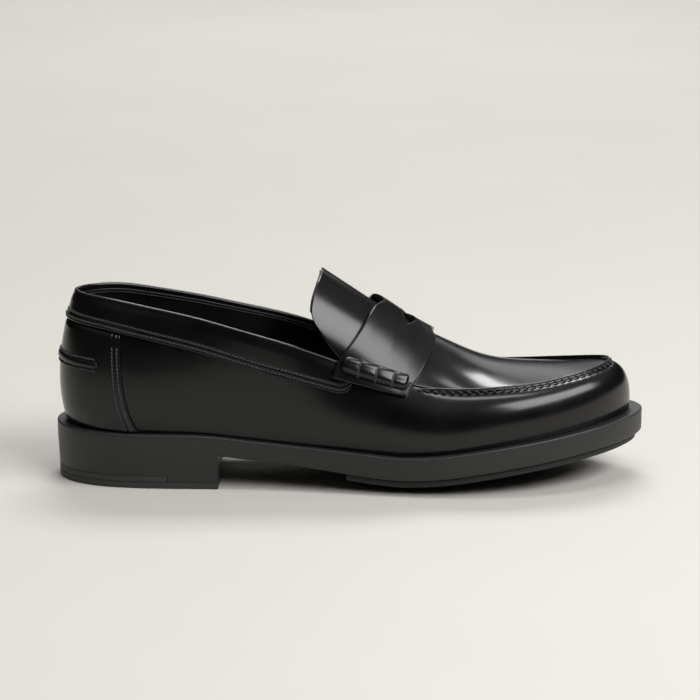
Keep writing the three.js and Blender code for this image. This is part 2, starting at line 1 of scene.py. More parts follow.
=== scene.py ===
import json
import math

import bmesh
import bpy
import numpy as np
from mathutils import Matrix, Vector

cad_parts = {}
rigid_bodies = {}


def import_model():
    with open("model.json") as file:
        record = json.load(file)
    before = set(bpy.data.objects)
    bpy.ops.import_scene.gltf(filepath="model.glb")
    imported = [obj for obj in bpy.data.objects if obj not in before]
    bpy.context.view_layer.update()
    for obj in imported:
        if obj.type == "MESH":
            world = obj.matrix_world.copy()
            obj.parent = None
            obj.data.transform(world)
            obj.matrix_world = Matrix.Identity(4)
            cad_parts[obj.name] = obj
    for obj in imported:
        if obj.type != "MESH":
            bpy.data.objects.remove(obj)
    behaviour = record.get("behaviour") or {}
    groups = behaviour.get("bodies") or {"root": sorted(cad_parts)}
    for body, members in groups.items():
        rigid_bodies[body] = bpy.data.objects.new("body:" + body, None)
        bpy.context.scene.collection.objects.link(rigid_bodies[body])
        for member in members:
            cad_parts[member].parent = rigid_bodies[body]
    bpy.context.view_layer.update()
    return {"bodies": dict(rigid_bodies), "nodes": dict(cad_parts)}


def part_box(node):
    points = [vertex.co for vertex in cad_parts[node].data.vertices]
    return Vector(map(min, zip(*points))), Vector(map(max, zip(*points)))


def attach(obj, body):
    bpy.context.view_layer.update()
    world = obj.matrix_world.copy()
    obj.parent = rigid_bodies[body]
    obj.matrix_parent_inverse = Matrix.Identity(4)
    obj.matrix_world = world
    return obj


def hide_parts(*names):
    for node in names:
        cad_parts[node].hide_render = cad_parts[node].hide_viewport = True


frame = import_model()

# A right-foot penny loafer: fine meshes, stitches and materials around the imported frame.
# Lengths are in millimetres until a mesh is made. +X is the toe, +Y the inside of the foot.
BODY = next(iter(frame["bodies"]))
MM = 0.001

# ---------- Sizes ----------


def size_of(node):
    low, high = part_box(node)
    return np.array(high - low) / MM


LENGTH, BALL_WIDTH = size_of("sole_unit")[:2]
TOP_LIFT = size_of("heel_top_lift")[2]
SHARE_X = LENGTH / 292  # the last below is drawn at 292 long and 103 wide
SHARE_Y = BALL_WIDTH / 103
# Sizes named FROM, REACH, BREAST or END are places along the shoe, in the stations counted below.
HEEL_RISE = 8
TOE_SPRING = 13.6
BAND = 11.2
WAIST_BAND = 9.6
BOTTOM_CROWN = 4.7
TREAD = 3.2
TREAD_FROM = 6.2
INSERT_HEIGHT = 3
INSERT_DEPTH = 6
INSERT_REACH = 3.1
BREAST = 3.98
LEATHER = 1.2
LINING = 1
STIFFENER = 1.5
GAP = 0.3
SEAM_LIP = 2
LASTING_MARGIN = 12
INSOLE_BOARD = 2.2
FOOTBED = 2.5
SOCK = 1
COLLAR_DEPTH = [14, 14.3, 15.2, 16.3, 17, 17.2, 15.2, 13]
COLLAR_END = 6.25
STRAP = 2.4
TONGUE_LENGTH = 30
SLOT_ACROSS = 25
SLOT_ALONG = 7
ROLL_HEIGHT = 8.4
ROLL_PROUD = 3.4
ROLL_LOBES = 4
TAB_REACH = 1.7
TAB_DROP = 34
TAB_HEIGHT = 3.2
TAB_THICKNESS = 0.7
HEEL_STIFF_REACH = 3
TOE_PUFF_REACH = 2.4

# Stations round the shoe from the back of the heel, the outside of the foot first: the sole's rim x, y; the
# ledge from it in to the upper; the upper's top edge x, y and height over the sole; and the handles of the
# wall's curve, out and up from the sole, and out and down from the top.
STATIONS = np.array([
    [-146, 0, 6.3, -134.6, 0, 65.7, 4.7, 14, 9.8, 30],
    [-138, -20, 5.6, -128, -12.5, 65.5, 4.7, 14, 10.3, 28],
    [-118, -31, 4, -112, -21.5, 64.5, 4, 14, 9, 26],
    [-92, -34.5, 3.6, -88, -25.8, 60.2, 2.5, 14, 6, 24],
    [-64, -35.5, 3.4, -60, -29.8, 55, 1.5, 14, 3, 20],
    [-36, -37.5, 3.4, -32, -33, 50.2, 1.5, 13, 2.5, 18],
    [-8, -42, 3.6, -4, -33.5, 42.8, 2, 12, 5, 14],
    [20, -47.5, 4, 22, -35.5, 35.2, 3, 11, 8, 9],
    [47, -51.2, 4.2, 46, -36, 29.2, 3, 10, 9.5, 4],
    [74, -50, 4.4, 70, -35.5, 26.1, 2.5, 10, 10, 2],
    [100, -43.5, 4.8, 93, -30, 24.4, 2, 10, 10, 1],
    [124, -30.5, 5.4, 113, -20, 24.2, 1.5, 10, 10.5, 0.6],
    [140, -13, 5.8, 124.5, -8.5, 24.3, 1, 10.5, 10.6, 0.4],
    [146, 3, 6.4, 128, 2, 24.5, 1, 10.5, 10.5, 0.4],
    [141, 18, 5.8, 125, 11.5, 23.5, 1, 10.5, 10.6, 0.4],
    [127, 33, 5.4, 113, 21.5, 22.3, 1.5, 10, 10.5, 0.6],
    [104, 46, 4.8, 93, 30.5, 22.3, 2, 10, 10, 1],
    [78, 51, 4.4, 70, 35.5, 23.9, 2.5, 10, 10, 2],
    [51, 50, 4.2, 46, 36, 28.8, 3, 10, 9, 4],
    [24, 42, 3.6, 22, 36, 36, 3, 11, 6, 9],
    [-4, 34.5, 2.6, -4, 33.5, 43.8, 2.5, 12, 4, 14],
    [-34, 31.5, 2.2, -32, 33, 51, 2, 13, 2, 18],
    [-64, 32.5, 2.6, -60, 29.8, 55.2, 2, 14, 3, 20],
    [-92, 34, 3.4, -88, 25.8, 60.2, 2.5, 14, 6, 24],
    [-118, 31, 4, -112, 21.5, 64.5, 4, 14, 9, 26],
    [-138, 20, 5.6, -128, 12.5, 65.5, 4.7, 14, 10.3, 28],
])
ROUND = len(STATIONS)
TOE = ROUND // 2
VAMP = 7  # where the topline's two sides meet the strap, in stations back from the toe
RIDGE = np.array([
    [128, 2, 24.5], [125, 2, 24.4], [113, 2, 24.6], [93, 2.5, 27.3],
    [70, 3, 33], [49, 3, 44.6], [31, 2, 55.1], [11.3, 1, 66.7],
])
HEEL_SHARE = [1.12, 1.05, 1, 0.97, 0.69, 0.42, 0.2, 0, 0, 0, 0, 0, 0]
TOE_SHARE = [0, 0, 0, 0, 0, 0, 0, 0, 0.14, 0.4, 0.64, 0.87, 1]

# ---------- The last's surfaces ----------


def spline(values, closed=False):
    """A smooth curve through values at whole numbers."""
    values = np.array(values, float)
    n = len(values)
    matrix = 4 * np.eye(n) + np.eye(n, k=1) + np.eye(n, k=-1)
    turn = np.roll(values, 1) - 2 * values + np.roll(values, -1)
    if closed:
        matrix[0, -1] = matrix[-1, 0] = 1
    else:
        matrix[[0, -1]] = np.eye(n)[[0, -1]]
        turn[[0, -1]] = 0
    bend = np.linalg.solve(matrix, 6 * turn)

    def at(where):
        where = np.asarray(where, float)
        whole = np.floor(where)
        if not closed:
            whole = np.clip(whole, 0, n - 2)
        share = where - whole
        rest = 1 - share
        i = whole.astype(int) % n
        j = (i + 1) % n
        curve = (rest ** 3 - rest) * bend[i] + (share ** 3 - share) * bend[j]
        return rest * values[i] + share * values[j] + curve / 6

    return at


def lerp(a, b, share):
    return a + (b - a) * share


def smooth(x, start, end):
    share = np.clip((x - start) / (end - start), 0, 1)
    return share * share * (3 - 2 * share)


def unit(vectors):
    return vectors / np.maximum(np.linalg.norm(vectors, axis=-1, keepdims=True), 1e-9)


def xyz(x, y, z):
    return np.stack(np.broadcast_arrays(x, y, z), axis=-1).astype(float)


def steps(low, high, count, *more):
    return np.unique(np.concatenate([np.linspace(low, high, count), *more]))


scales = [SHARE_X, SHARE_Y, 1, SHARE_X, SHARE_Y, 1, 1, 1, 1, 1]
columns = [spline(STATIONS[:, i] * scales[i], True) for i in range(10)]
rim_x, rim_y, ledge, top_x, top_y, top_rise, low_out, low_up, high_out, high_down = columns
ridge_x = spline(RIDGE[:, 0] * SHARE_X)
ridge_y = spline(RIDGE[:, 1] * SHARE_Y)
ridge_rise = spline(RIDGE[:, 2])
heel_share = spline(HEEL_SHARE)
toe_share = spline(TOE_SHARE)
collar_depth = spline(COLLAR_DEPTH)
UP = np.array([0.0, 0.0, 1.0])
DELTA = 0.01  # a small step along a station, for slopes


def sole_top(x):
    at = (x / LENGTH + 0.5) * (len(HEEL_SHARE) - 1)
    rise = HEEL_RISE * np.maximum(heel_share(at), 0) + TOE_SPRING * np.maximum(toe_share(at), 0)
    return BOTTOM_CROWN + TREAD + BAND + rise


def band_edge(x):
    return sole_top(x) - lerp(WAIST_BAND, BAND, smooth(x / LENGTH, -0.12, 0.03))


def band_bottom(x, inset):
    share = np.interp(inset, [0, 3, 9, 20], [0, 0.14, 0.55, 1])
    return band_edge(x) - BOTTOM_CROWN * share * smooth(x / LENGTH, -0.1, 0.06)


def outward(u):
    dx = rim_x(u + DELTA) - rim_x(u - DELTA)
    dy = rim_y(u + DELTA) - rim_y(u - DELTA)
    return unit(xyz(dy, -dx, 0 * dx))


def outline(u, inset):
    u, inset = np.broadcast_arrays(u, inset)
    return xyz(rim_x(u), rim_y(u), 0 * u) - outward(u) * inset[..., None]


def feather(u):
    p = outline(u, ledge(u))
    p[..., 2] = sole_top(p[..., 0]) + GAP
    return p


def top_edge(u):
    x = top_x(u)
    return xyz(x, top_y(u), sole_top(x) + top_rise(u))


def wall(u, v):
    """The upper's outer face: v is 0 at the sole and 1 at the topline or the seam."""
    u, v = np.broadcast_arrays(np.asarray(u, float), v)
    out = outward(u)
    a = feather(u)
    d = top_edge(u)
    b = a + out * low_out(u)[..., None] + UP * low_up(u)[..., None]
    c = d + out * high_out(u)[..., None] - UP * high_down(u)[..., None]
    v = v[..., None]
    w = 1 - v
    return a * w ** 3 + b * 3 * w * w * v + c * 3 * w * v * v + d * v ** 3


def wall_at(u, v, offset):
    u, v, offset = np.broadcast_arrays(np.asarray(u, float), v, offset)
    along = wall(u + DELTA, v) - wall(u - DELTA, v)
    up = wall(u, np.minimum(v + DELTA, 1)) - wall(u, np.maximum(v - DELTA, 0))
    return wall(u, v) + unit(np.cross(along, up)) * offset[..., None]


def v_below(u, amount, height=False):
    """v on the wall, an amount down from its top edge along the face or in height; u is one row."""
    levels = np.linspace(1, 0, 201)
    face = wall(u[:, None], levels[None, :])
    if height:
        run = face[:, :1, 2] - face[..., 2]
    else:
        legs = np.linalg.norm(np.diff(face, axis=1), axis=-1)
        run = np.concatenate([np.zeros((len(u), 1)), np.cumsum(legs, axis=1)], axis=1)
    amount = np.broadcast_to(amount, (len(u), np.shape(amount)[-1]))
    return np.array([np.interp(a, r, levels) for a, r in zip(amount, run)])


def wall_length(u):
    face = wall(u[:, None], np.linspace(0, 1, 101)[None, :])
    return np.linalg.norm(np.diff(face, axis=1), axis=-1).sum(axis=1)


def on_wall(u, drop, offset, height=True):
    """Points on rows of the wall, given by their drop from its top edge; all three are flat lists."""
    v = v_below(u, drop[:, None], height)[:, 0]
    return wall_at(u, v, offset)


def ridge(k):
    return xyz(ridge_x(k), ridge_y(k), sole_top(ridge_x(k)) + ridge_rise(k))


TONGUE_TAPER = 0.18
TONGUE_SQUARE = 0.54
TONGUE_CORNER = 3.0
TONGUE_BULGE = 0.5  # how much fuller the tongue's lower sides are than a straight line
RUN = unit((ridge(VAMP) - ridge(VAMP - DELTA)) * [1, 0, 1])  # the way the tongue points


def arch(k, t, taper=TONGUE_TAPER):
    """The vamp between its two seams: k counts back from the toe, t is -1 outside and 1 inside."""
    k, t = np.broadcast_arrays(np.asarray(k, float), t)
    base = np.minimum(k, VAMP)
    past = (k - base)[..., None]
    crest = ridge(base)
    side = np.where(t < 0, -1, 1)
    reach = top_edge(TOE + side * base) - crest
    half = np.abs(reach[..., 1:2])
    down = reach * [1, 0, 1]
    drop = np.maximum(np.linalg.norm(down, axis=-1, keepdims=True), 1e-6)
    down = down / drop
    radius = (half * half + drop * drop) / (2 * drop)
    angle = np.abs(t)[..., None] * 2 * np.arctan2(drop, half) * (1 - taper * past)
    corner = (1 - np.minimum(np.abs(t), 1) ** TONGUE_CORNER) ** (1 / TONGUE_CORNER)
    square = TONGUE_SQUARE + TONGUE_BULGE * (1 - past[..., 0])
    rounding = lerp(square, 1, corner)[..., None] if taper else 1
    sideways = np.sign(t)[..., None] * radius * np.sin(angle) * np.array([0, 1, 0])
    return crest + sideways + down * radius * (1 - np.cos(angle)) + RUN * past * rounding * TONGUE_LENGTH


def arch_at(k, t, offset):
    k, t, offset = np.broadcast_arrays(np.asarray(k, float), t, offset)
    near = t * (1 - TONGUE_TAPER * np.maximum(k - VAMP, 0))
    across = arch(k, np.minimum(near + DELTA, 1), 0) - arch(k, np.maximum(near - DELTA, -1), 0)
    back = arch(k + DELTA, near, 0) - arch(k - DELTA, near, 0)
    return arch(k, t) + unit(np.cross(across, back)) * offset[..., None]


def arch_half(k):
    base = np.minimum(k, VAMP)
    return (top_y(TOE + base) - top_y(TOE - base)) / 2


WALL_REACH = 0.2
SEAM_SHARE = 0.86


def saddle(k, t):
    """The strap's path over the vamp and down the wall."""
    k, t = np.broadcast_arrays(np.asarray(k, float), t)
    size = np.abs(t)
    side = np.where(t < 0, -1, 1)
    over = arch(k, side * np.minimum(size / SEAM_SHARE, 1), 0)
    down = np.maximum(size - SEAM_SHARE, 0) / (1 - SEAM_SHARE) * WALL_REACH
    return np.where((size <= SEAM_SHARE)[..., None], over, wall(TOE + side * k, 1 - down))


def saddle_at(k, t, offset):
    k, t, offset = np.broadcast_arrays(np.asarray(k, float), t, offset)
    wide = 0.06
    across = saddle(k, np.minimum(t + wide, 1)) - saddle(k, np.maximum(t - wide, -1))
    back = saddle(k + DELTA, t) - saddle(k - DELTA, t)
    return saddle(k, t) + unit(np.cross(across, back)) * offset[..., None]


def strap_under(k):
    return GAP + (LEATHER + GAP) * smooth(k, 5.2, 6.8)


SCALLOP_HALF = 0.3
SCALLOP_DEPTH = 0.16


def scallop(t):
    inside = np.clip(np.abs(t) / SCALLOP_HALF, 0, 1)
    return SCALLOP_DEPTH * np.cos(inside * math.pi / 2) ** 2


def on_strap(t, share):
    front = lerp(5.36, 5.78, t * t) + scallop(t)
    back = lerp(7, 7.15, t ** 4) - scallop(t)
    return lerp(front, back, share)


# ---------- Meshes ----------


def join(*parts):
    points, faces, count = [], [], 0
    for some, quads in parts:
        points.append(some)
        faces.append(quads + count)
        count += len(some)
    return np.concatenate(points), np.concatenate(faces)


def outside_out(points, faces):
    a, b, c, d = (points[faces[:, i]] for i in range(4))
    volume = (a * np.cross(b, c)).sum() + (a * np.cross(c, d)).sum()
    return points, faces if volume > 0 else faces[:, ::-1]


def loft(loops, ring=False, caps=(True, True)):
    """A closed body through loops of points. A loop goes out along one face and back along the other."""
    m, n = loops.shape[:2]
    i, j = np.meshgrid(np.arange(m if ring else m - 1), np.arange(n), indexing="ij")
    after = (i + 1) % m
    beside = (j + 1) % n
    quads = np.stack([i * n + j, i * n + beside, after * n + beside, after * n + j], -1).reshape(-1, 4)
    strip = np.arange(n // 2 - 1)
    cap = np.stack([n - 1 - strip, n - 2 - strip, strip + 1, strip], -1)
    faces = [quads]
    if not ring and caps[0]:
        faces.append(cap)
    if not ring and caps[1]:
        faces.append(cap[:, ::-1] + (m - 1) * n)
    return outside_out(loops.reshape(-1, 3), np.concatenate(faces))


def shell(outer, inner, ring=False):
    return loft(np.concatenate([outer, inner[:, ::-1]], axis=1), ring)


def tubes(paths, normals, radii, sides=6):
    """One thread for each path: paths are points by thread and step, and radii are by step."""
    count, steps = paths.shape[:2]
    along = unit(np.gradient(paths, axis=1))
    across = unit(np.cross(along, normals))
    up = np.cross(across, along)
    angles = np.arange(sides) / sides * 2 * math.pi
    ring = up[:, :, None] * np.cos(angles)[:, None] + across[:, :, None] * np.sin(angles)[:, None]
    points = paths[:, :, None] + ring * np.broadcast_to(radii, (count, steps))[:, :, None, None]
    faces = loft(points[0])[1][None] + (np.arange(count) * steps * sides)[:, None, None]
    return points.reshape(-1, 3), faces.reshape(-1, 4)


def rounded(distance, radius):
    """Height share of a rounded edge, a distance in from it."""
    share = np.clip(distance / radius, 0, 1)
    return np.sqrt(1 - (1 - share) ** 2)


NEAR = np.array([-0.8, -0.5, -0.3, -0.15, 0, 0.15, 0.3, 0.5, 0.8])
EDGE = np.array([0, 0.02, 0.08, 0.18, 0.32, 0.5, 0.75, 1.1])


def samples(low, high, step, marks=(), edges=True):
    """Places from low to high, closer together at the ends and round each mark."""
    places = [np.linspace(low, high, int((high - low) / step) + 2)]
    places += [mark + NEAR for mark in marks]
    if edges:
        places += [low + EDGE, high - EDGE]
    return np.unique(np.round(np.clip(np.concatenate(places), low, high), 4))


def add_object(name, data):
    thing = bpy.data.objects.new(name, data)
    bpy.context.scene.collection.objects.link(thing)
    return thing


def piece(name, body, look, slot, *nodes, crease=38):
    """Makes a body of points and quads an object that rides on the frame."""
    points, faces = body
    mesh = bpy.data.meshes.new(name)
    mesh.from_pydata((points * MM).tolist(), [], faces.tolist())
    made = bmesh.new()
    made.from_mesh(mesh)
    bmesh.ops.remove_doubles(made, verts=made.verts, dist=2e-6)
    bmesh.ops.dissolve_degenerate(made, edges=made.edges, dist=1e-6)
    made.to_mesh(mesh)
    made.free()
    mesh.polygons.foreach_set("use_smooth", [True] * len(mesh.polygons))
    mesh.set_sharp_from_angle(angle=math.radians(crease))
    mesh.materials.append(look)
    thing = add_object(name, mesh)
    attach(thing, BODY)
    if nodes:
        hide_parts(*nodes)
    return thing


# ---------- Materials ----------


def node(tree, kind, settings=None, **inputs):
    made = tree.nodes.new("ShaderNode" + kind)
    for key, value in (settings or {}).items():
        setattr(made, key, value)
    for key, value in inputs.items():
        socket = made.inputs[key.replace("_", " ")]
        if isinstance(value, bpy.types.NodeSocket):
            tree.links.new(value, socket)
        else:
            socket.default_value = value
    return made


def material(name, **sockets):
    """A new material, its tree, its shader and its place coordinate."""
    look = bpy.data.materials.new(name)
    look.use_nodes = True
    tree = look.node_tree
    shader = tree.nodes["Principled BSDF"]
    for key, value in sockets.items():
        shader.inputs[key.replace("_", " ")].default_value = value
    place = node(tree, "TexCoord").outputs["Object"]
    return look, tree, shader, place


def grey(value, tint=(1, 1, 1)):
    return (value * tint[0], value * tint[1], value * tint[2], 1)


def noise(tree, place, scale, detail=4, **more):
    return node(tree, "TexNoise", Vector=place, Scale=scale, Detail=detail, **more).outputs["Fac"]


def mottled(tree, place, dark, light, scale, detail=4):
    """A colour that drifts between two, and the noise that drives it."""
    drift = noise(tree, place, scale, detail, Roughness=0.6)
    share = node(tree, "MapRange", Value=drift, From_Min=0.35, From_Max=0.65).outputs["Result"]
    mix = node(tree, "MixRGB", Fac=share, Color1=dark, Color2=light)
    return mix.outputs["Color"], drift


def spread(tree, value, low, high):
    ranged = node(tree, "MapRange", Value=value, From_Min=0.3, From_Max=0.7, To_Min=low, To_Max=high)
    return ranged.outputs["Result"]


def surface(name, dark, light, scale, low, high, detail=4, **sockets):
    """A material whose colour and roughness drift between two values together."""
    look, tree, shader, place = material(name, **sockets)
    colour, drift = mottled(tree, place, dark, light, scale, detail)
    tree.links.new(colour, shader.inputs["Base Color"])
    tree.links.new(spread(tree, drift, low, high), shader.inputs["Roughness"])
    return look, tree, shader, place, drift


def bumped(tree, shader, *layers):
    """Bumps one over another, each a height, its strength and its depth in metres."""
    normal = None
    for height, strength, depth in layers:
        bump = node(tree, "Bump", Height=height, Strength=strength, Distance=depth)
        if normal:
            tree.links.new(normal, bump.inputs["Normal"])
        normal = bump.outputs["Normal"]
    tree.links.new(normal, shader.inputs["Normal"])


def leather(name, tone, gloss, grain=0.035, coat=0.12, wear=0.03):
    """Polished calf: fine pores, faint drawn creases, uneven polish and paler edges."""
    look, tree, shader, place = material(
        name, IOR=1.46, Specular_IOR_Level=0.4, Coat_Weight=coat, Coat_Roughness=0.14, Coat_IOR=1.46)
    colour, drift = mottled(tree, place, grey(tone * 0.75), grey(tone * 1.35, (1, 0.99, 0.98)), 38)
    edge = node(tree, "NewGeometry").outputs["Pointiness"]
    worn = node(tree, "MapRange", Value=edge, From_Min=0.58, From_Max=0.75, To_Max=0.5).outputs["Result"]
    colour = node(tree, "MixRGB", Fac=worn, Color1=colour, Color2=grey(wear)).outputs["Color"]
    fine = noise(tree, place, 420, 3)
    polish = node(tree, "Math", {"operation": "MULTIPLY_ADD"})
    tree.links.new(fine, polish.inputs[0])
    polish.inputs[1].default_value = 0.03
    tree.links.new(spread(tree, drift, gloss * 0.82, gloss * 1.12), polish.inputs[2])
    tree.links.new(colour, shader.inputs["Base Color"])
    tree.links.new(polish.outputs["Value"], shader.inputs["Roughness"])
    pores = node(tree, "TexVoronoi", Vector=place, Scale=1500, Randomness=1.0).outputs["Distance"]
    drawn = noise(tree, place, 120, 5, Distortion=0.4)
    bumped(tree, shader, (drawn, grain, 0.00005), (pores, grain, 0.00006))
    return look


def rubber(name, tone, rough):
    """Moulded rubber with a fine stippled skin and a little dust in it."""
    light = grey(tone * 1.15, (1, 0.99, 0.97))
    look, tree, shader, place, _ = surface(
        name, grey(tone * 0.9), light, 24, rough - 0.06, rough + 0.06, IOR=1.48)
    flow = noise(tree, place, 160, 3)
    stipple = noise(tree, place, 2200, 2)
    bumped(tree, shader, (flow, 0.1, 0.0002), (stipple, 0.25, 0.00005))
    return look


def waxed_thread(name, tone):
    """Twisted cord, waxed: slanting plies and a dull shine."""
    look, tree, shader, place, _ = surface(
        name, grey(tone * 0.7), grey(tone * 1.4), 300, 0.38, 0.55,
        IOR=1.45, Sheen_Weight=0.15, Sheen_Roughness=0.5)
    settings = {"wave_type": "BANDS", "bands_direction": "DIAGONAL"}
    plies = node(tree, "TexWave", settings, Vector=place, Scale=900, Distortion=1.5).outputs["Fac"]
    bumped(tree, shader, (plies, 0.5, 0.00012))
    return look


def fibrous(name, dark, light, scale, rough, depth):
    """Board, cork, foam or stiffener: a mottled body with a rough skin."""
    look, tree, shader, place, drift = surface(
        name, dark, light, scale, rough - 0.08, rough + 0.06, 8, IOR=1.4)
    cells = node(tree, "TexVoronoi", Vector=place, Scale=scale * 6).outputs["Distance"]
    bumped(tree, shader, (drift, 0.4, depth), (cells, 0.35, depth / 2))
    return look


def rolled_steel(name):
    look, tree, shader, place, _ = surface(
        name, grey(0.42), grey(0.55, (1, 0.99, 0.97)), 30, 0.28, 0.42, Metallic=1.0)
    stretched = node(tree, "Mapping", Vector=place, Scale=(40, 1600, 1600)).outputs["Vector"]
    bumped(tree, shader, (noise(tree, stretched, 1), 0.3, 0.00004))
    return look


upper_leather = leather("polished_calf", 0.003, 0.21)
strap_leather = leather("polished_strap_calf", 0.004, 0.25, wear=0.05)
lining_leather = leather("lining_calf", 0.004, 0.45, grain=0.2, coat=0)
sole_rubber = rubber("satin_rubber", 0.015, 0.42)
tread_rubber = rubber("tread_rubber", 0.012, 0.55)
lift_rubber = rubber("lift_rubber", 0.026, 0.52)
thread = waxed_thread("waxed_thread", 0.022)
roll_thread = waxed_thread("waxed_roll_cord", 0.02)
stiffener = fibrous(
    "stiffener_board", grey(0.14, (1, 0.93, 0.8)), grey(0.2, (1, 0.94, 0.82)), 180, 0.8, 0.0002)
CAD_LOOKS = {
    "shank": rolled_steel("rolled_steel"),
    "bottom_filler": fibrous(
        "cork_filler", grey(0.2, (1, 0.6, 0.33)), grey(0.45, (1, 0.66, 0.4)), 260, 0.85, 0.0003),
    "insole_board": fibrous(
        "insole_fibreboard", grey(0.1, (1, 0.82, 0.6)), grey(0.15, (1, 0.84, 0.64)), 140, 0.85, 0.0002),
    "heel_stiffener": stiffener,
    "toe_puff": stiffener,
}
foam = fibrous("footbed_foam", grey(0.035), grey(0.055), 320, 0.9, 0.0003)
for name, look in CAD_LOOKS.items():
    frame["nodes"][name].data.materials.clear()
    frame["nodes"][name].data.materials.append(look)

# ---------- The sole ----------

CROWN_INSETS = [3, 9, 20]
TOUCH = 0.06  # the gap left between two pieces of the sole
HEEL_FLOOR = TOP_LIFT + TOUCH
BEVEL = [(1.3, 0), (0.75, 0.03), (0.4, 0.13), (0.17, 0.3), (0.04, 0.52), (0, 0.8)]
HEEL_TAPER = 0.7
DEEP_END = INSERT_REACH + 0.012  # where the slot for the heel insert stops
GROOVE_PITCH = 6.5
GROOVE_WIDTH = 2
GROOVE_DEPTH = 1.1
GROOVE_SWAY = 3


def section(s, rows):
    """A closed loop across the sole from rows of (inset, height over x), the top face's and the bottom's."""
    def face(side, some):
        parts = []
        for inset, height in some:
            p = outline(side, np.asarray(inset, float))
            p[..., 2] = height(p[..., 0])
            parts.append(p)
        return parts

    loops = []
    for some in rows:
        left = face(s, some)
        right = face(ROUND - s, some)[::-1]
        middle = (left[-1] + right[0]) / 2
        loops.append(np.stack([*left, middle, *right], axis=0))
    return np.concatenate([loops[0], loops[1][::-1]], axis=0)


def level(height):
    return lambda x: height + 0 * x


def under_top(drop):
    return lambda x: sole_top(x) - drop


def over_bottom(inset, rise):
    return lambda x: band_bottom(x, inset) + rise


def sole_section(s):
    top = [(0, under_top(4.2))]
    top += [(inset, under_top(drop)) for inset, drop in BEVEL[::-1]]
    top += [(inset, under_top(0)) for inset in CROWN_INSETS]
    if s <= BREAST:
        low = HEEL_FLOOR + (INSERT_HEIGHT + 2 * TOUCH if s <= DEEP_END else 0)
        side = [
            (HEEL_TAPER * 0.2, under_top(WAIST_BAND)),
            (HEEL_TAPER, level(low + 0.22)),
            (HEEL_TAPER + 0.06, level(low + 0.06)),
            (HEEL_TAPER + 0.22, level(low)),
            (INSERT_DEPTH + GAP, level(low)),
            (INSERT_DEPTH + GAP + 0.01, level(HEEL_FLOOR)),
            (9, level(HEEL_FLOOR)),
            (20, level(HEEL_FLOOR)),
        ]
    else:
        side = [
            (0, over_bottom(0, 4.2)),
            (0, over_bottom(0, 1.1)),
            (0.12, over_bottom(0, 0.5)),
            (0.5, over_bottom(0.2, 0.1)),
            (1.2, over_bottom(1.2, 0)),
            (3, over_bottom(3, 0)),
            (9, over_bottom(9, 0)),
            (20, over_bottom(20, 0)),
        ]
    bottom = [top[0]] * (len(top) - len(side)) + side
    return section(s, (top, bottom))


def sole_unit():
    stops = steps(0, TOE, 300, [DEEP_END, DEEP_END + 1e-4, BREAST, BREAST + 1e-4])
    return loft(np.array([sole_section(s) for s in stops]), caps=(False, False))


def wave_groove(x, y):
    """Grooves across the foot that sway a little, as a height to lift a bottom face by."""
    phase = (x + GROOVE_SWAY * np.cos(y / 9)) / GROOVE_PITCH
    off = np.abs(phase - np.round(phase)) * GROOVE_PITCH
    return GROOVE_DEPTH * smooth(off, GROOVE_WIDTH / 2 + 0.45, GROOVE_WIDTH / 2 - 0.25)


def grooved_plate(start, end, insets, top, bottom, count):
    """A plate of rubber with rounded edges and grooves in its wearing face."""
    loops = []
    for s in np.linspace(start, end, count):
        row = [outline(side, np.asarray(insets, float)) for side in (s, ROUND - s)]
        middle = (row[0][-1] + row[1][-1]) / 2
        shares = np.linspace(0, 1, 14)[1:-1, None]
        left = np.concatenate([row[0], lerp(row[0][-1], middle, shares), [middle]])
        right = np.concatenate([row[1], lerp(row[1][-1], middle, shares)])
        line = np.concatenate([left, right[::-1]])
        inner = np.full(len(shares), insets[-1])
        depth = np.concatenate([insets, inner, [insets[-1]], inner, insets[::-1]])
        x, y = line[:, 0], line[:, 1]
        edge = depth - insets[0]
        upper = line.copy()
        upper[:, 2] = top(x, depth) - 0.25 * (1 - rounded(edge, 0.25))
        lower = line.copy()
        cut = wave_groove(x, y) * smooth(edge, 1.2, 3)
        lower[:, 2] = bottom(x, depth) + np.maximum(cut, 0.6 * (1 - rounded(edge, 0.6)))
        loops.append(np.concatenate([upper, lower[::-1]]))
    return loft(np.array(loops), caps=(start > 0, end < TOE))


def heel_insert():
    u = np.linspace(-INSERT_REACH, INSERT_REACH, 160)[:, None]
    corner = [(0.2, 0), (0.06, 0.06), (0, 0.2)]
    upper = [(inset, INSERT_HEIGHT - rise) for inset, rise in corner[::-1]]
    back = [(INSERT_DEPTH, INSERT_HEIGHT), (INSERT_DEPTH, 0), (INSERT_DEPTH / 2, 0)]
    profile = np.array(corner + [(0, INSERT_HEIGHT / 2)] + upper + back)
    inset = profile[:, 0] + 0 * u
    loop = outline(u + 0 * inset, inset + HEEL_TAPER * (inset < INSERT_DEPTH))
    loop[..., 2] = HEEL_FLOOR + TOUCH + profile[:, 1]
    return loft(loop)


edge_insets = [0, 0.05, 0.2, 0.45, 0.9]
tread_insets = np.array([3 + i for i in edge_insets] + list(np.linspace(4.6, 20, 16)))
lift_insets = np.array([HEEL_TAPER + i for i in edge_insets] + list(np.linspace(2.4, 20, 14)))
piece("sole_unit_moulded", sole_unit(), sole_rubber, "sole_rubber", "sole_unit", crease=30)
piece(
    "forefoot_tread_grooved",
    grooved_plate(TREAD_FROM, TOE, tread_insets, lambda x, i: band_bottom(x, i) - GAP,
                  lambda x, i: band_bottom(x, i) - TREAD, 300),
    tread_rubber, "tread_rubber", "forefoot_tread")
piece(
    "heel_top_lift_grooved",
    grooved_plate(0, BREAST, lift_insets, lambda x, i: TOP_LIFT + 0 * x, lambda x, i: 0 * x, 150),
    lift_rubber, "tread_rubber", "heel_top_lift")
piece("heel_insert_strip", heel_insert(), lift_rubber, "tread_rubber", "heel_insert")

# ---------- Inside the bottom ----------

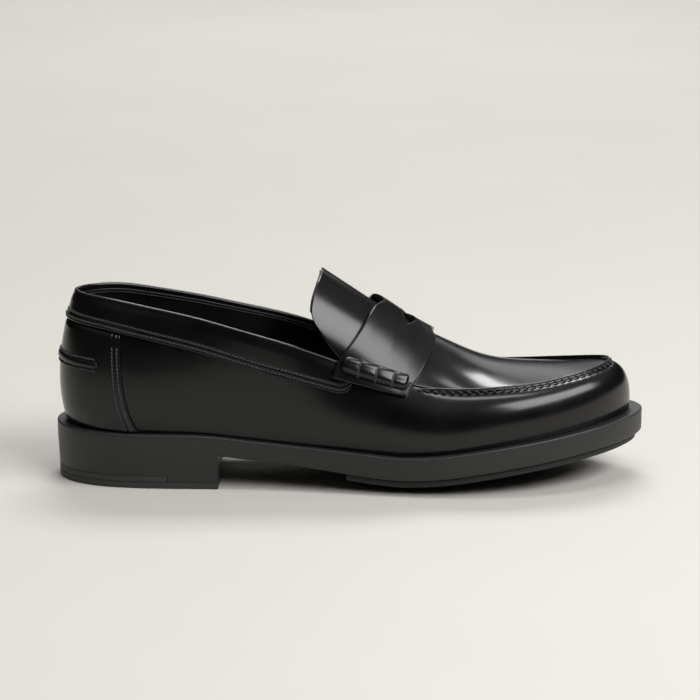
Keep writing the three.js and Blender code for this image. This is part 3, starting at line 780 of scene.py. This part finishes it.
board_bottom = GAP + LEATHER + GAP
footbed_bottom = board_bottom + INSOLE_BOARD + GAP
sock_bottom = footbed_bottom + FOOTBED + GAP


def tuck(back):
    """How far in the footbed's edge lies, just clear of the linings; back counts from the heel."""
    heel = smooth(back, HEEL_STIFF_REACH + 0.5, HEEL_STIFF_REACH)
    toe = smooth(TOE - back, TOE_PUFF_REACH + 0.5, TOE_PUFF_REACH)
    return LEATHER + LINING + 2 * GAP + np.maximum(heel, toe) * (STIFFENER + GAP)


def cushion_plate(low, thickness, edge, crown):
    """A layer over the sole with round edges, a little fuller in its middle."""
    insets = np.array([0, 0.06, 0.2, 0.45, 0.8, 1.4, 2.6, 4.5, 7, 10, 14])
    loops = []
    for s in np.linspace(0, TOE, 160):
        row = [outline(side, ledge(side) + tuck(s) + insets) for side in (s, ROUND - s)]
        middle = (row[0][-1] + row[1][-1]) / 2
        line = np.concatenate([row[0], [middle], row[1][::-1]])
        inset = np.concatenate([insets, [insets[-1]], insets[::-1]])
        round_off = edge * (1 - rounded(inset, edge))
        full = crown * smooth(inset, 0, 10)
        upper = line.copy()
        upper[:, 2] = sole_top(line[:, 0]) + low + thickness - crown - round_off + full
        lower = line.copy()
        lower[:, 2] = sole_top(line[:, 0]) + low + round_off * 0.3
        loops.append(np.concatenate([upper, lower[::-1]]))
    return loft(np.array(loops), caps=(False, False))


footbed = piece("footbed_cushion", cushion_plate(footbed_bottom, FOOTBED, 0.9, 0.25), foam, "foam", "footbed")
piece("sock_lining_leather", cushion_plate(sock_bottom, SOCK, 0.35, 0.2), lining_leather, "lining_leather",
      "sock_lining")

# ---------- The upper ----------

STITCH_PITCH = 4  # of the moccasin seam
COLLAR_CUT = 3.8  # the wall ends this far under the collar's fold
LEATHER_ROUND = 0.7  # radius of the counter's cut edges


def run_length(line, low, high):
    """A row's whole length, the station at a length along it, and the length at a station."""
    grid = np.linspace(low, high, 1600)
    points = line(grid)
    run = np.concatenate([[0], np.cumsum(np.linalg.norm(np.diff(points, axis=0), axis=1))])
    return run[-1], (lambda mm: np.interp(mm, run, grid)), (lambda at: np.interp(at, grid, run))


SEAM_REACH = 5.7  # the moccasin seam's ends, in stations from the toe
seam_run = run_length(top_edge, TOE - SEAM_REACH, TOE + SEAM_REACH)[2]


def from_toe(u):
    return np.abs(u - TOE)


def seam_lip(u):
    """The lip's height along the moccasin seam; it runs out under the strap."""
    return SEAM_LIP * smooth(from_toe(u), 5.6, 5.1)


def pucker(u):
    """0 at a stitch of the moccasin seam and 1 half way to the next."""
    return 0.5 - 0.5 * np.cos(2 * math.pi * seam_run(u) / STITCH_PITCH)


def seam_flank(s):
    """The lip's outer flank, as a share of its height, at s from the seam's edge."""
    return 0.68 * smooth(s, 2.5, 1.2)


def vamp_wall():
    u = np.linspace(0, ROUND, ROUND * 34 + 1)[:-1]
    length = wall_length(u)[:, None]
    near = np.array([8, 6.8, 5.8, 5, 4.3, 3.7, 3.2, 2.8, 2.5, 2.25, 2.05, 1.85, 1.65, 1.5, 1.35, 1.2])
    low = 8 + (length - 8) * np.linspace(1, 0, 30)[None, :-1]
    face = np.concatenate([low, np.broadcast_to(near, (len(u), len(near)))], axis=1)
    lip = seam_lip(u)[:, None]
    top_s = np.array([1.17, 1.06, 0.86, 0.6, 0.34, 0.14, 0.03])
    top_h = np.array([0.78, 0.89, 0.97, 1.0, 0.97, 0.89, 0.75])
    cut = (COLLAR_CUT * smooth(from_toe(u), 6.35, 6.7))[:, None]
    full = pucker(u)[:, None]
    zone = lip / SEAM_LIP
    swell = zone * (0.13 * full - 0.1) * np.exp(-((face - 2.4) / 1.1) ** 2)
    height = lip * seam_flank(face) + swell
    crest = lip * (top_h + (0.03 * full - 0.02)) - 0.02 * (1 - zone)
    s = np.concatenate([face, np.broadcast_to(top_s, (len(u), len(top_s))), np.zeros((len(u), 1))], axis=1)
    h = np.concatenate([height, crest, np.full((len(u), 1), -0.2)], axis=1)
    at = np.minimum(s + cut, length)
    outer = wall_at(u[:, None], v_below(u, at), h)
    inner = wall_at(u[:, None], v_below(u, at), np.full_like(h, -LEATHER))
    out = outward(u)
    tucked = feather(u) - out * LASTING_MARGIN
    tucked[:, 2] = sole_top(tucked[:, 0]) + GAP
    inner[:, 0] = feather(u) - out * LEATHER + UP * LEATHER
    outer = np.concatenate([tucked[:, None], outer], axis=1)
    inner = np.concatenate([(tucked + UP * LEATHER)[:, None], inner], axis=1)
    return shell(outer, inner, True)


def apron_edge(k, short):
    return 1 - short * (1 + 0.8 / k ** 2) / arch_half(k)


def vamp_sheet(short, start, mid, thickness, fall):
    """A sheet over the vamp and the tongue, between faces half a thickness each side of mid."""
    tongue = samples(0, TONGUE_LENGTH, 0.8)[1:] / TONGUE_LENGTH
    k = np.concatenate([samples(start, VAMP, 0.045, edges=False), VAMP + tongue])
    past = np.maximum(k - VAMP, 0)
    edge = apron_edge(k, short)[:, None]
    half = np.maximum(arch_half(k)[:, None], 3) * 1.1
    inward = np.array([0, 0.015, 0.06, 0.14, 0.27, 0.45, 0.7, 1.05, 1.6, 2.4])
    side = edge - inward / half
    middle = np.linspace(1, -1, 61)[None, 1:-1] * side[:, -1:]
    t = np.concatenate([side, middle, -side[:, ::-1]], axis=1)
    to_side = (edge - np.abs(t)) * half
    to_end = (VAMP + 1 - k[:, None]) * TONGUE_LENGTH
    to_toe = (k[:, None] - start) * 6
    plain = smooth(k[:, None], 5.6, 5.2)
    distance = np.minimum(np.minimum(to_side, to_end), to_toe)
    full = rounded(distance, thickness * 0.62) * thickness / 2
    cut_back = 0.2 * past[:, None] * smooth(t, 0.1, 0.8)  # of the tongue's inner corner
    k = k[:, None] - cut_back
    sink = -fall * np.exp(-np.minimum(to_side, to_toe) / 1.1) * plain
    outer = arch_at(k, t, mid + full + sink)
    inner = arch_at(k, t, mid - full + sink)
    return shell(outer, inner)


COLLAR_TURN = 9  # radius of the band's lower corner, which turns up under the strap
COLLAR_STATION = 27  # mm along the collar from one station to the next, at its end


def collar_line(u):
    """The collar band's depth, station by station."""
    left = np.maximum(COLLAR_END - np.abs(u), 0) * COLLAR_STATION
    turn = np.maximum(COLLAR_TURN - left, 0)
    rise = COLLAR_TURN - np.sqrt(np.maximum(COLLAR_TURN ** 2 - turn ** 2, 0))
    return collar_depth(np.minimum(np.abs(u), COLLAR_END)) - 0.95 * rise


FOLD = 1.25  # radius of the topline's fold
FOLD_MID = -0.15
FOLD_INNER = 0.3
COLLAR_ROUND = 0.75  # radius of the collar's lower edge
COVER_LIFT = 0.7
ROWS_ON_COLLAR = (1.6, 3.9)
ROWS_ON_COUNTER = (1.4, 3.7)


def groove(distance, depth=0.3, width=0.5):
    return -depth * np.exp(-(distance / width) ** 2)


def over_counter(u, up):
    """How far the counter cover pushes out the collar, at a height over its lower edge."""
    return COVER_LIFT * smooth(np.abs(u), 2.75, 2.35) * smooth(up, 3.2, 0.6)


def collar_band():
    u = np.linspace(-COLLAR_END, COLLAR_END, 460)
    depth = collar_line(u)[:, None]
    low = samples(0, 6, 0.5, ROWS_ON_COLLAR)
    low = low[low < 5.95]
    rise = np.broadcast_to(low, (len(u), len(low)))
    high = 6 + (depth - FOLD - 6) * np.linspace(0, 1, 14)[None]
    up = np.concatenate([rise, high], axis=1)
    pushed = over_counter(u[:, None], up)
    outer_face = lerp(GAP + LEATHER, FOLD_MID + FOLD, smooth(depth - up, 5.5, FOLD)) + pushed
    outer_face += groove(up - ROWS_ON_COLLAR[0]) + groove(up - ROWS_ON_COLLAR[1])
    outer_face -= COLLAR_ROUND * (1 - rounded(up, COLLAR_ROUND))
    inner_face = lerp(GAP, FOLD_MID + FOLD_INNER, smooth(depth - up, 5.5, FOLD)) + pushed * 0.6
    angle = np.linspace(0, math.pi, 15)[None, 1:]
    fold_drop = FOLD * (1 - np.sin(angle)) * np.ones_like(depth)
    fold_outer = FOLD_MID + FOLD * np.cos(angle) * np.ones_like(depth)
    fold_inner = FOLD_MID + FOLD_INNER * np.cos(angle) * np.ones_like(depth)
    inner_drop = FOLD - FOLD_INNER * np.sin(angle) * np.ones_like(depth)
    leg = np.broadcast_to(np.linspace(FOLD, 3.2, 6)[1:], (len(u), 5))
    drops = [depth - up, fold_drop, leg]
    outer_v = v_below(u, np.concatenate(drops, axis=1), True)
    inner_v = v_below(u, np.concatenate([depth - up, inner_drop, leg], axis=1), True)
    end = -0.35 * smooth(leg, 2.9, 3.2)
    outer_offset = np.concatenate([outer_face, fold_outer, FOLD_MID - FOLD - end], axis=1)
    inner_offset = np.concatenate([inner_face, fold_inner, FOLD_MID - FOLD_INNER + end], axis=1)
    outer = wall_at(u[:, None], outer_v, outer_offset)
    inner = wall_at(u[:, None], inner_v, inner_offset)
    return shell(outer, inner)


def counter_front(v):
    return 2.08 + 0.5 * (1 - v) ** 2


COUNTER_LONG = 50  # its sizes in mm, near enough to place its edges and stitches
COUNTER_HIGH = 40
UNDER_COLLAR = 0.011  # how far its top stays under the collar, as a share of the wall


def counter_cover():
    rows = np.linspace(0.03, 1, 44)
    from_front = samples(0, COUNTER_LONG, 1.3, ROWS_ON_COUNTER)
    from_front = from_front[from_front < COUNTER_LONG - 1]
    to_middle = 1 - from_front / COUNTER_LONG
    share = np.concatenate([-to_middle, to_middle[::-1]])
    outer, inner = [], []
    for one in share:
        u0 = one * counter_front(0.7)
        top = v_below(np.array([u0]), np.array([[collar_line(u0)]]), True)[0, 0] - UNDER_COLLAR
        v = rows * top
        u = one * counter_front(v)
        to_front = (1 - abs(one)) * COUNTER_LONG
        to_top = (1 - rows) * COUNTER_HIGH
        edge = rounded(np.minimum(to_front, to_top), LEATHER_ROUND)
        lift = GAP + LEATHER + groove(to_front - ROWS_ON_COUNTER[0]) + groove(to_front - ROWS_ON_COUNTER[1])
        outer.append(wall_at(u, v, lift - LEATHER_ROUND * (1 - edge)))
        inner.append(wall_at(u, v, GAP + 0 * v))
    return shell(np.array(outer), np.array(inner))


def heel_tab():
    length, station, _ = run_length(lambda u: on_wall(u, TAB_DROP + 0 * u, 0 * u), -TAB_REACH, TAB_REACH)
    mm = samples(0, length, 1)
    across = samples(0, TAB_HEIGHT, 0.35)
    half = TAB_HEIGHT / 2
    x = np.minimum(mm, length - mm)[:, None] * np.ones_like(across)
    y = np.abs(across - half)[None] * np.ones_like(x)
    out_of_round = np.maximum(half - x, 0)
    radius = np.maximum(np.hypot(out_of_round, y), 1e-6)
    squeeze = np.where(out_of_round > 0, np.maximum(out_of_round, y) / radius, 1)
    sign = np.where(mm < length / 2, 1, -1)[:, None]
    at = np.where(out_of_round > 0, half - out_of_round * squeeze, x)
    at = np.where(sign > 0, at, length - at)
    up = half + np.sign(across - half)[None] * y * squeeze
    to_edge = np.minimum(half - np.abs(up - half), np.where(out_of_round > 0, half - radius * squeeze, half))
    base = 2 * GAP + LEATHER
    crown = 0.25 * (1 - (y / half) ** 2)
    face = base + TAB_THICKNESS * 0.25 + 0.75 * TAB_THICKNESS * rounded(to_edge, LEATHER_ROUND) + crown
    u = station(at.ravel())
    drop = TAB_DROP - up.ravel()
    outer = on_wall(u, drop, face.ravel()).reshape(*at.shape, 3)
    inner = on_wall(u, drop, base + 0 * face.ravel()).reshape(*at.shape, 3)
    return shell(outer, inner)


HEEL_STIFF_HIGH = 0.62
LINING_LOW = 0.17
LINING_DROP = 2.4  # the linings' top edge under the topline
GRIP_END = 2.45
VAMP_LINING = 6.3
JOINT = 0.002  # half the gap between two linings, in stations
LINING_STATION = 25  # mm from one station to the next, and from the lining's foot to its top
LINING_HIGH = 45
LINING_ROUND = 0.45


def lining_face(u, v):
    back = np.minimum(np.abs(u), np.abs(u - ROUND))
    heel = smooth(back, HEEL_STIFF_REACH + 0.5, HEEL_STIFF_REACH)
    heel = heel * smooth(v, HEEL_STIFF_HIGH + 0.12, HEEL_STIFF_HIGH)
    toe = smooth(from_toe(u), TOE_PUFF_REACH + 0.5, TOE_PUFF_REACH)
    return -LEATHER - GAP - 0.05 - np.maximum(heel, toe) * (STIFFENER + GAP)


def lining(start, end, top_drop):
    """A lining from one station to another, up to a drop under the topline."""
    ends = EDGE / LINING_STATION
    rims = EDGE / LINING_HIGH
    u = steps(start, end, int((end - start) * 18), start + ends, end - ends)
    top = v_below(u, np.full((len(u), 1), top_drop), False)
    share = steps(0, 1, 34, rims, 1 - rims)
    v = LINING_LOW + (top - LINING_LOW) * share
    to_end = np.minimum(u - start, end - u)[:, None] * LINING_STATION
    to_edge = np.minimum(to_end, np.minimum(share, 1 - share) * LINING_HIGH)
    round_off = LINING_ROUND * (1 - rounded(to_edge, LINING_ROUND))
    face = lining_face(u[:, None], v)
    seam = groove(to_edge - 2, 0.1, 0.4)
    outer = wall_at(u[:, None], v, face - round_off)
    inner = wall_at(u[:, None], v, face - LINING + round_off - seam)
    return shell(outer, inner)


piece("vamp_wall_leather", vamp_wall(), upper_leather, "upper_leather", "vamp_wall")
piece("apron_leather", vamp_sheet(0.12, 0.36, -LEATHER / 2, LEATHER, 0.35), upper_leather, "upper_leather",
      "apron")
piece("apron_lining_leather", vamp_sheet(4, 0.9, -LEATHER - 2 * GAP - LINING / 2, LINING, 0), lining_leather,
      "lining_leather", "apron_lining")
piece("collar_band_leather", collar_band(), upper_leather, "upper_leather", "collar_band")
piece("counter_cover_leather", counter_cover(), upper_leather, "upper_leather", "counter_cover")
piece("heel_tab_leather", heel_tab(), upper_leather, "upper_leather", "heel_tab")
for name, start, end, drop in (
    ("heel_grip_lining", -GRIP_END + JOINT, GRIP_END - JOINT, LINING_DROP),
    ("quarter_lining_outside", GRIP_END + JOINT, VAMP_LINING - JOINT, LINING_DROP),
    ("quarter_lining_inside", ROUND - VAMP_LINING + JOINT, ROUND - GRIP_END - JOINT, LINING_DROP),
    ("vamp_lining", VAMP_LINING + JOINT, ROUND - VAMP_LINING - JOINT, 7),
):
    piece(name + "_leather", lining(start, end, drop), lining_leather, "lining_leather", name)

# ---------- The saddle strap ----------

STRAP_ROUND = 0.55
STRAP_CORNER = 1.3
STRAP_HALF = 50  # half its length and its width in mm, near enough to place its edges
STRAP_WIDE = 34
SLOT_ROUND = 0.45
CUTTER_HALF = 12
SLOT_K = float(on_strap(np.array(0.0), 0.5))


def slot_distance(points):
    """Roughly how far strap points lie outside the lens-shaped slot."""
    centre = saddle(SLOT_K, 0.0)
    along = (points - centre) @ RUN
    across = points[..., 1] - centre[1]
    rise = SLOT_ALONG / 2 * (1 - (across / (SLOT_ACROSS / 2)) ** 2)
    return np.abs(along) - rise


def strap_body():
    ends = EDGE / STRAP_HALF
    rims = EDGE / STRAP_WIDE
    t = steps(-1, 1, 150, np.linspace(-0.32, 0.32, 110), 1 - ends, ends - 1)
    share = steps(0, 1, 46, np.linspace(0.3, 0.7, 60), rims, 1 - rims)
    k = on_strap(t[:, None], share[None])
    rows = saddle(k, t[:, None] * np.ones_like(k))
    width = np.linalg.norm(rows[:, -1] - rows[:, 0], axis=-1)[:, None]
    legs = np.linalg.norm(np.diff(rows[:, 20], axis=0), axis=-1)
    run = np.concatenate([[0], np.cumsum(legs)])
    to_end = np.minimum(run, run[-1] - run)[:, None]
    x = np.minimum(share, 1 - share)[None] * width
    y = to_end * np.ones_like(x)
    dx, dy = np.maximum(STRAP_CORNER - x, 0), np.maximum(STRAP_CORNER - y, 0)
    both = (dx > 0) & (dy > 0)
    squeeze = np.where(both, np.maximum(dx, dy) / np.maximum(np.hypot(dx, dy), 1e-6), 1)
    new_x = np.where(both, STRAP_CORNER - dx * squeeze, x)
    new_y = np.where(both, STRAP_CORNER - dy * squeeze, y)
    near_front = (share < 0.5)[None]
    new_share = np.where(near_front, new_x / width, 1 - new_x / width)
    half = run[-1] / 2
    new_run = np.where((run < half)[:, None], new_y, run[-1] - new_y)
    new_t = np.interp(new_run, run, t)
    to_edge = np.where(both, STRAP_CORNER - np.maximum(dx, dy), np.minimum(x, y))
    k = on_strap(new_t, new_share)
    under = strap_under(k)
    to_slot = np.maximum(slot_distance(saddle(k, new_t)), 0)
    edge = STRAP_ROUND * (1 - rounded(to_edge, STRAP_ROUND))
    lens = SLOT_ROUND * (1 - rounded(to_slot, SLOT_ROUND))
    outer = saddle_at(k, new_t, under + STRAP - edge - lens)
    inner = saddle_at(k, new_t, under)
    return shell(outer, inner)


def slot_cutter():
    """The lens-shaped block that is taken out of the strap."""
    half = SLOT_ACROSS / 2
    corners = ((-1, 1), (1, 1), (1, -1), (-1, -1))
    a = np.linspace(-half, half, 60)
    rise = SLOT_ALONG / 2 * (1 - (a / half) ** 2) + 0.02
    up = np.cross(RUN, [0, 1, 0])
    up = up * np.sign(up[2])
    centre = saddle(SLOT_K, 0.0)
    loops = []
    for one, half_rise in zip(a, rise):
        middle = centre + np.array([0, one, 0])
        loops.append([middle + RUN * half_rise * sx + up * CUTTER_HALF * sz for sx, sz in corners])
    return loft(np.array(loops))


strap = piece("saddle_strap_leather", strap_body(), strap_leather, "strap_leather", "saddle_strap", crease=42)
points, faces = slot_cutter()
cutter_mesh = bpy.data.meshes.new("cutter")
cutter_mesh.from_pydata((points * MM).tolist(), [], faces.tolist())
cutter = add_object("cutter", cutter_mesh)
cut = strap.modifiers.new("slot", "BOOLEAN")
cut.operation = "DIFFERENCE"
cut.object = cutter
cut.solver = "EXACT"
with bpy.context.temp_override(object=strap, active_object=strap, selected_objects=[strap]):
    bpy.ops.object.modifier_apply(modifier=cut.name)
bpy.data.objects.remove(cutter)
strap.data.set_sharp_from_angle(angle=math.radians(42))

# ---------- Beef rolls ----------

ROLL_FROM = 0.06  # where a roll starts and ends across the strap, and its place along the strap
ROLL_TO = 0.95
ROLL_AT = 0.87
ROLL_LONG = 40  # in mm, near enough to round its ends
CORD = 0.25  # radius of the roll's cord


def along_roll(share):
    return (share - ROLL_FROM) / (ROLL_TO - ROLL_FROM)


def roll_taper(share):
    return np.sqrt(np.maximum(1 - np.abs(2 * along_roll(share) - 1) ** 22, 0.06))


def valley(share):
    return np.abs(np.sin(along_roll(share) * math.pi * ROLL_LOBES))


def over_strap(side, share, q, height):
    """A point over the strap: q runs across the roll, height counts from the strap's face."""
    share, q, height = np.broadcast_arrays(share, q, height)
    probe = 0.02
    k = on_strap(np.full(share.shape, side * ROLL_AT), share)
    ends = saddle(k, side * (ROLL_AT + probe) + 0 * k) - saddle(k, side * (ROLL_AT - probe) + 0 * k)
    one = np.linalg.norm(ends, axis=-1) / (2 * probe)
    half = ROLL_HEIGHT / 2 * roll_taper(share)
    return saddle_at(k, side * (ROLL_AT + q * half / one), strap_under(k) + STRAP + height)


def roll_height(share, q):
    lobe = lerp(0.86, 1, np.maximum(valley(share), 1e-6) ** 0.4)
    across = np.maximum(1 - np.abs(q) ** 3.4, 0) ** 0.5
    return ROLL_PROUD * lobe * roll_taper(share) * across


def beef_roll(side):
    ends = EDGE / ROLL_LONG
    share = steps(ROLL_FROM, ROLL_TO, 150, ROLL_FROM + ends, ROLL_TO - ends)
    q = np.sin(np.linspace(-1, 1, 31) * math.pi / 2)
    narrow = lerp(0.975, 1, valley(share) ** 0.5)[:, None]
    outer = over_strap(side, share[:, None], q[None] * narrow, roll_height(share[:, None], q[None]))
    inner = over_strap(side, share[:, None], q[None] * narrow, -0.05 * np.ones((len(share), len(q))))
    return shell(outer, inner)


def roll_cords(side, at):
    """Two turns of cord side by side over the roll, in the valley between two lobes."""
    share = lerp(ROLL_FROM, ROLL_TO, at / ROLL_LOBES)
    q = np.sin(np.linspace(-1, 1, 23) * math.pi / 2) * 1.1
    shape = np.clip(q / 1.02, -1, 1)
    height = roll_height(share, shape) + CORD * 0.75
    height = np.where(np.abs(q) > 1.02, CORD * 0.2, height)
    root = over_strap(side, share + 0 * q, 0 * q, 0 * q)
    ahead = unit(over_strap(side, share + 0.01 + 0 * q, 0 * q, 0 * q) - root)
    line = over_strap(side, share + 0 * q, q, height)
    paths = np.stack([line + ahead * gap for gap in (-CORD * 1.25, CORD * 1.25)])
    normals = np.broadcast_to(unit(line - root), paths.shape)
    radii = CORD * np.clip(1.2 - np.abs(np.linspace(-1, 1, 23)) ** 10, 0.3, 1)
    return tubes(paths, normals, radii, 8)


for where, side in (("outside", -1), ("inside", 1)):
    name = "beef_roll_" + where
    piece(name + "_leather", beef_roll(side), strap_leather, "strap_leather", name)
    for at in range(1, ROLL_LOBES):
        label = f"roll_thread_{where}_{at}"
        piece(label + "_cords", roll_cords(side, at), roll_thread, "thread", label)

# ---------- Stitches ----------

MACHINE = (1.9, 1.55, 0.42, 0.25)  # pitch, length, radius and slant
FINE = (1.9, 1.7, 0.25, 0.1)
HAND = (STITCH_PITCH, 2.3, 0.42, 0.35)


def row_of_stitches(place, low, high, pitch, length, radius, slant):
    """Stitches along a row; place(station, across, offset) gives points from flat lists."""
    total, station, _ = run_length(lambda u: place(u, 0 * u, 0 * u), low, high)
    centres = np.arange(pitch / 2, total - pitch / 4, pitch)
    shape = np.linspace(-1, 1, 7)
    mm = centres[:, None] + length / 2 * shape
    across = slant * shape * np.ones_like(mm)
    depth = radius * (1 - 1.9 * shape ** 4) * np.ones_like(mm)
    flat = station(mm.ravel())
    path = place(flat, across.ravel(), depth.ravel()).reshape(*mm.shape, 3)
    above = place(flat, across.ravel(), depth.ravel() + 1).reshape(*mm.shape, 3)
    radii = radius * np.array([0.5, 0.85, 1, 1, 1, 0.85, 0.5])
    return tubes(path, unit(above - path), radii)


def collar_row(rise):
    def place(u, across, offset):
        face = GAP + LEATHER + groove(0) + over_counter(u, rise)
        return on_wall(u, collar_line(u) - rise - across, face + offset)
    return row_of_stitches(place, -COLLAR_END + 0.1, COLLAR_END - 0.1, *MACHINE)


def counter_row(side, behind):
    def place(v, across, offset):
        share = 1 - (behind + across) / COUNTER_LONG
        u = side * share * counter_front(v)
        return wall_at(u, v, GAP + LEATHER + groove(0) + offset)
    return row_of_stitches(place, 0.04, 0.7, *MACHINE)


def tab_row(drop):
    def place(u, across, offset):
        return on_wall(u, drop + across + 0 * u, GAP + LEATHER + offset)
    return row_of_stitches(place, -TAB_REACH + 0.04, TAB_REACH - 0.04, *MACHINE)


def moccasin_row():
    def place(u, across, offset):
        s = 1.95 + across
        height = seam_lip(u) * seam_flank(s) + 0.02
        return on_wall(u, s, height + offset, False)
    return row_of_stitches(place, TOE - SEAM_REACH + 0.1, TOE + SEAM_REACH - 0.1, *HAND)


def lining_row(start, end):
    def place(u, across, offset):
        drop = LINING_DROP + 1.6 + across
        v = v_below(u, drop[:, None], False)[:, 0]
        return wall_at(u, v, lining_face(u, v) - LINING - offset)
    return row_of_stitches(place, start, end, *FINE)


piece("collar_stitches", join(*[collar_row(rise) for rise in ROWS_ON_COLLAR]), thread, "thread")
counter_rows = [counter_row(side, behind) for side in (-1, 1) for behind in ROWS_ON_COUNTER]
piece("counter_stitches", join(*counter_rows), thread, "thread")
piece("tab_stitches", join(tab_row(TAB_DROP + 1.1), tab_row(TAB_DROP - TAB_HEIGHT - 1.1)), thread, "thread")
piece("moccasin_stitches", moccasin_row(), thread, "thread")
piece("topline_stitches", lining_row(-VAMP_LINING + 0.1, VAMP_LINING - 0.1), thread, "thread")

# ---------- Floor, light and camera ----------


def floor():
    half = 9
    mesh = bpy.data.meshes.new("floor")
    corners = [(-half, -half, 0), (half, -half, 0), (half, half, 0), (-half, half, 0)]
    mesh.from_pydata(corners, [], [(0, 1, 2, 3)])
    dark, light = (grey(tone, (1, 0.97, 0.91)) for tone in (0.5, 0.515))
    mesh.materials.append(surface("pale_paper", dark, light, 3, 0.75, 0.85, Specular_IOR_Level=0.25)[0])
    thing = add_object("floor", mesh)


def softbox(name, place, aim, size, radiance):
    """A rectangular light with a given radiance, pointed at a place."""
    light = bpy.data.lights.new(name, "AREA")
    light.shape = "RECTANGLE"
    light.size, light.size_y = size
    light.energy = radiance * math.pi * size[0] * size[1]
    thing = add_object(name, light)
    thing.location = place
    thing.rotation_euler = (Vector(aim) - Vector(place)).to_track_quat("-Z", "Y").to_euler()


def surroundings(low, high):
    """A dim studio with a broad scrim overhead."""
    world = bpy.data.worlds.new("studio")
    world.use_nodes = True
    tree = world.node_tree
    background = tree.nodes["Background"]
    background.inputs["Color"].default_value = (1, 0.985, 0.96, 1)
    way = node(tree, "TexCoord").outputs["Generated"]
    height = node(tree, "SeparateXYZ", Vector=way).outputs["Z"]
    glow = node(tree, "MapRange", {"interpolation_type": "SMOOTHSTEP"}, Value=height, From_Min=0.35,
                From_Max=0.95, To_Min=low, To_Max=high)
    tree.links.new(glow.outputs["Result"], background.inputs["Strength"])
    bpy.context.scene.world = world


def camera():
    """Level with the shoe's side, looking down a little, with a long lens."""
    elevation = math.radians(13)
    distance = 1.192
    target = Vector((0, 0, 0.0619))
    data = bpy.data.cameras.new("camera")
    data.lens = 123.43
    thing = add_object("camera", data)
    thing.location = target + Vector((0, -math.cos(elevation), math.sin(elevation))) * distance
    thing.rotation_euler = (math.pi / 2 - elevation, 0, 0)
    bpy.context.scene.camera = thing


floor()
surroundings(0.015, 0.35)
softbox("key", (1.0, -0.76, 1.16), (0, 0, 0.05), (1.5, 0.75), 9.2)
softbox("overhead", (0, -0.12, 1.9), (0, 0, 0), (1.2, 0.32), 8.0)
softbox("ceiling", (0.2, 2.3, 3.0), (0.2, 2.3, 0), (1.8, 1.4), 13)
softbox("back", (0.1, 4.2, 1.9), (0.1, 3.0, 0), (3.0, 1.6), 1.1)
camera()
bpy.context.scene.view_settings.view_transform = "Standard"
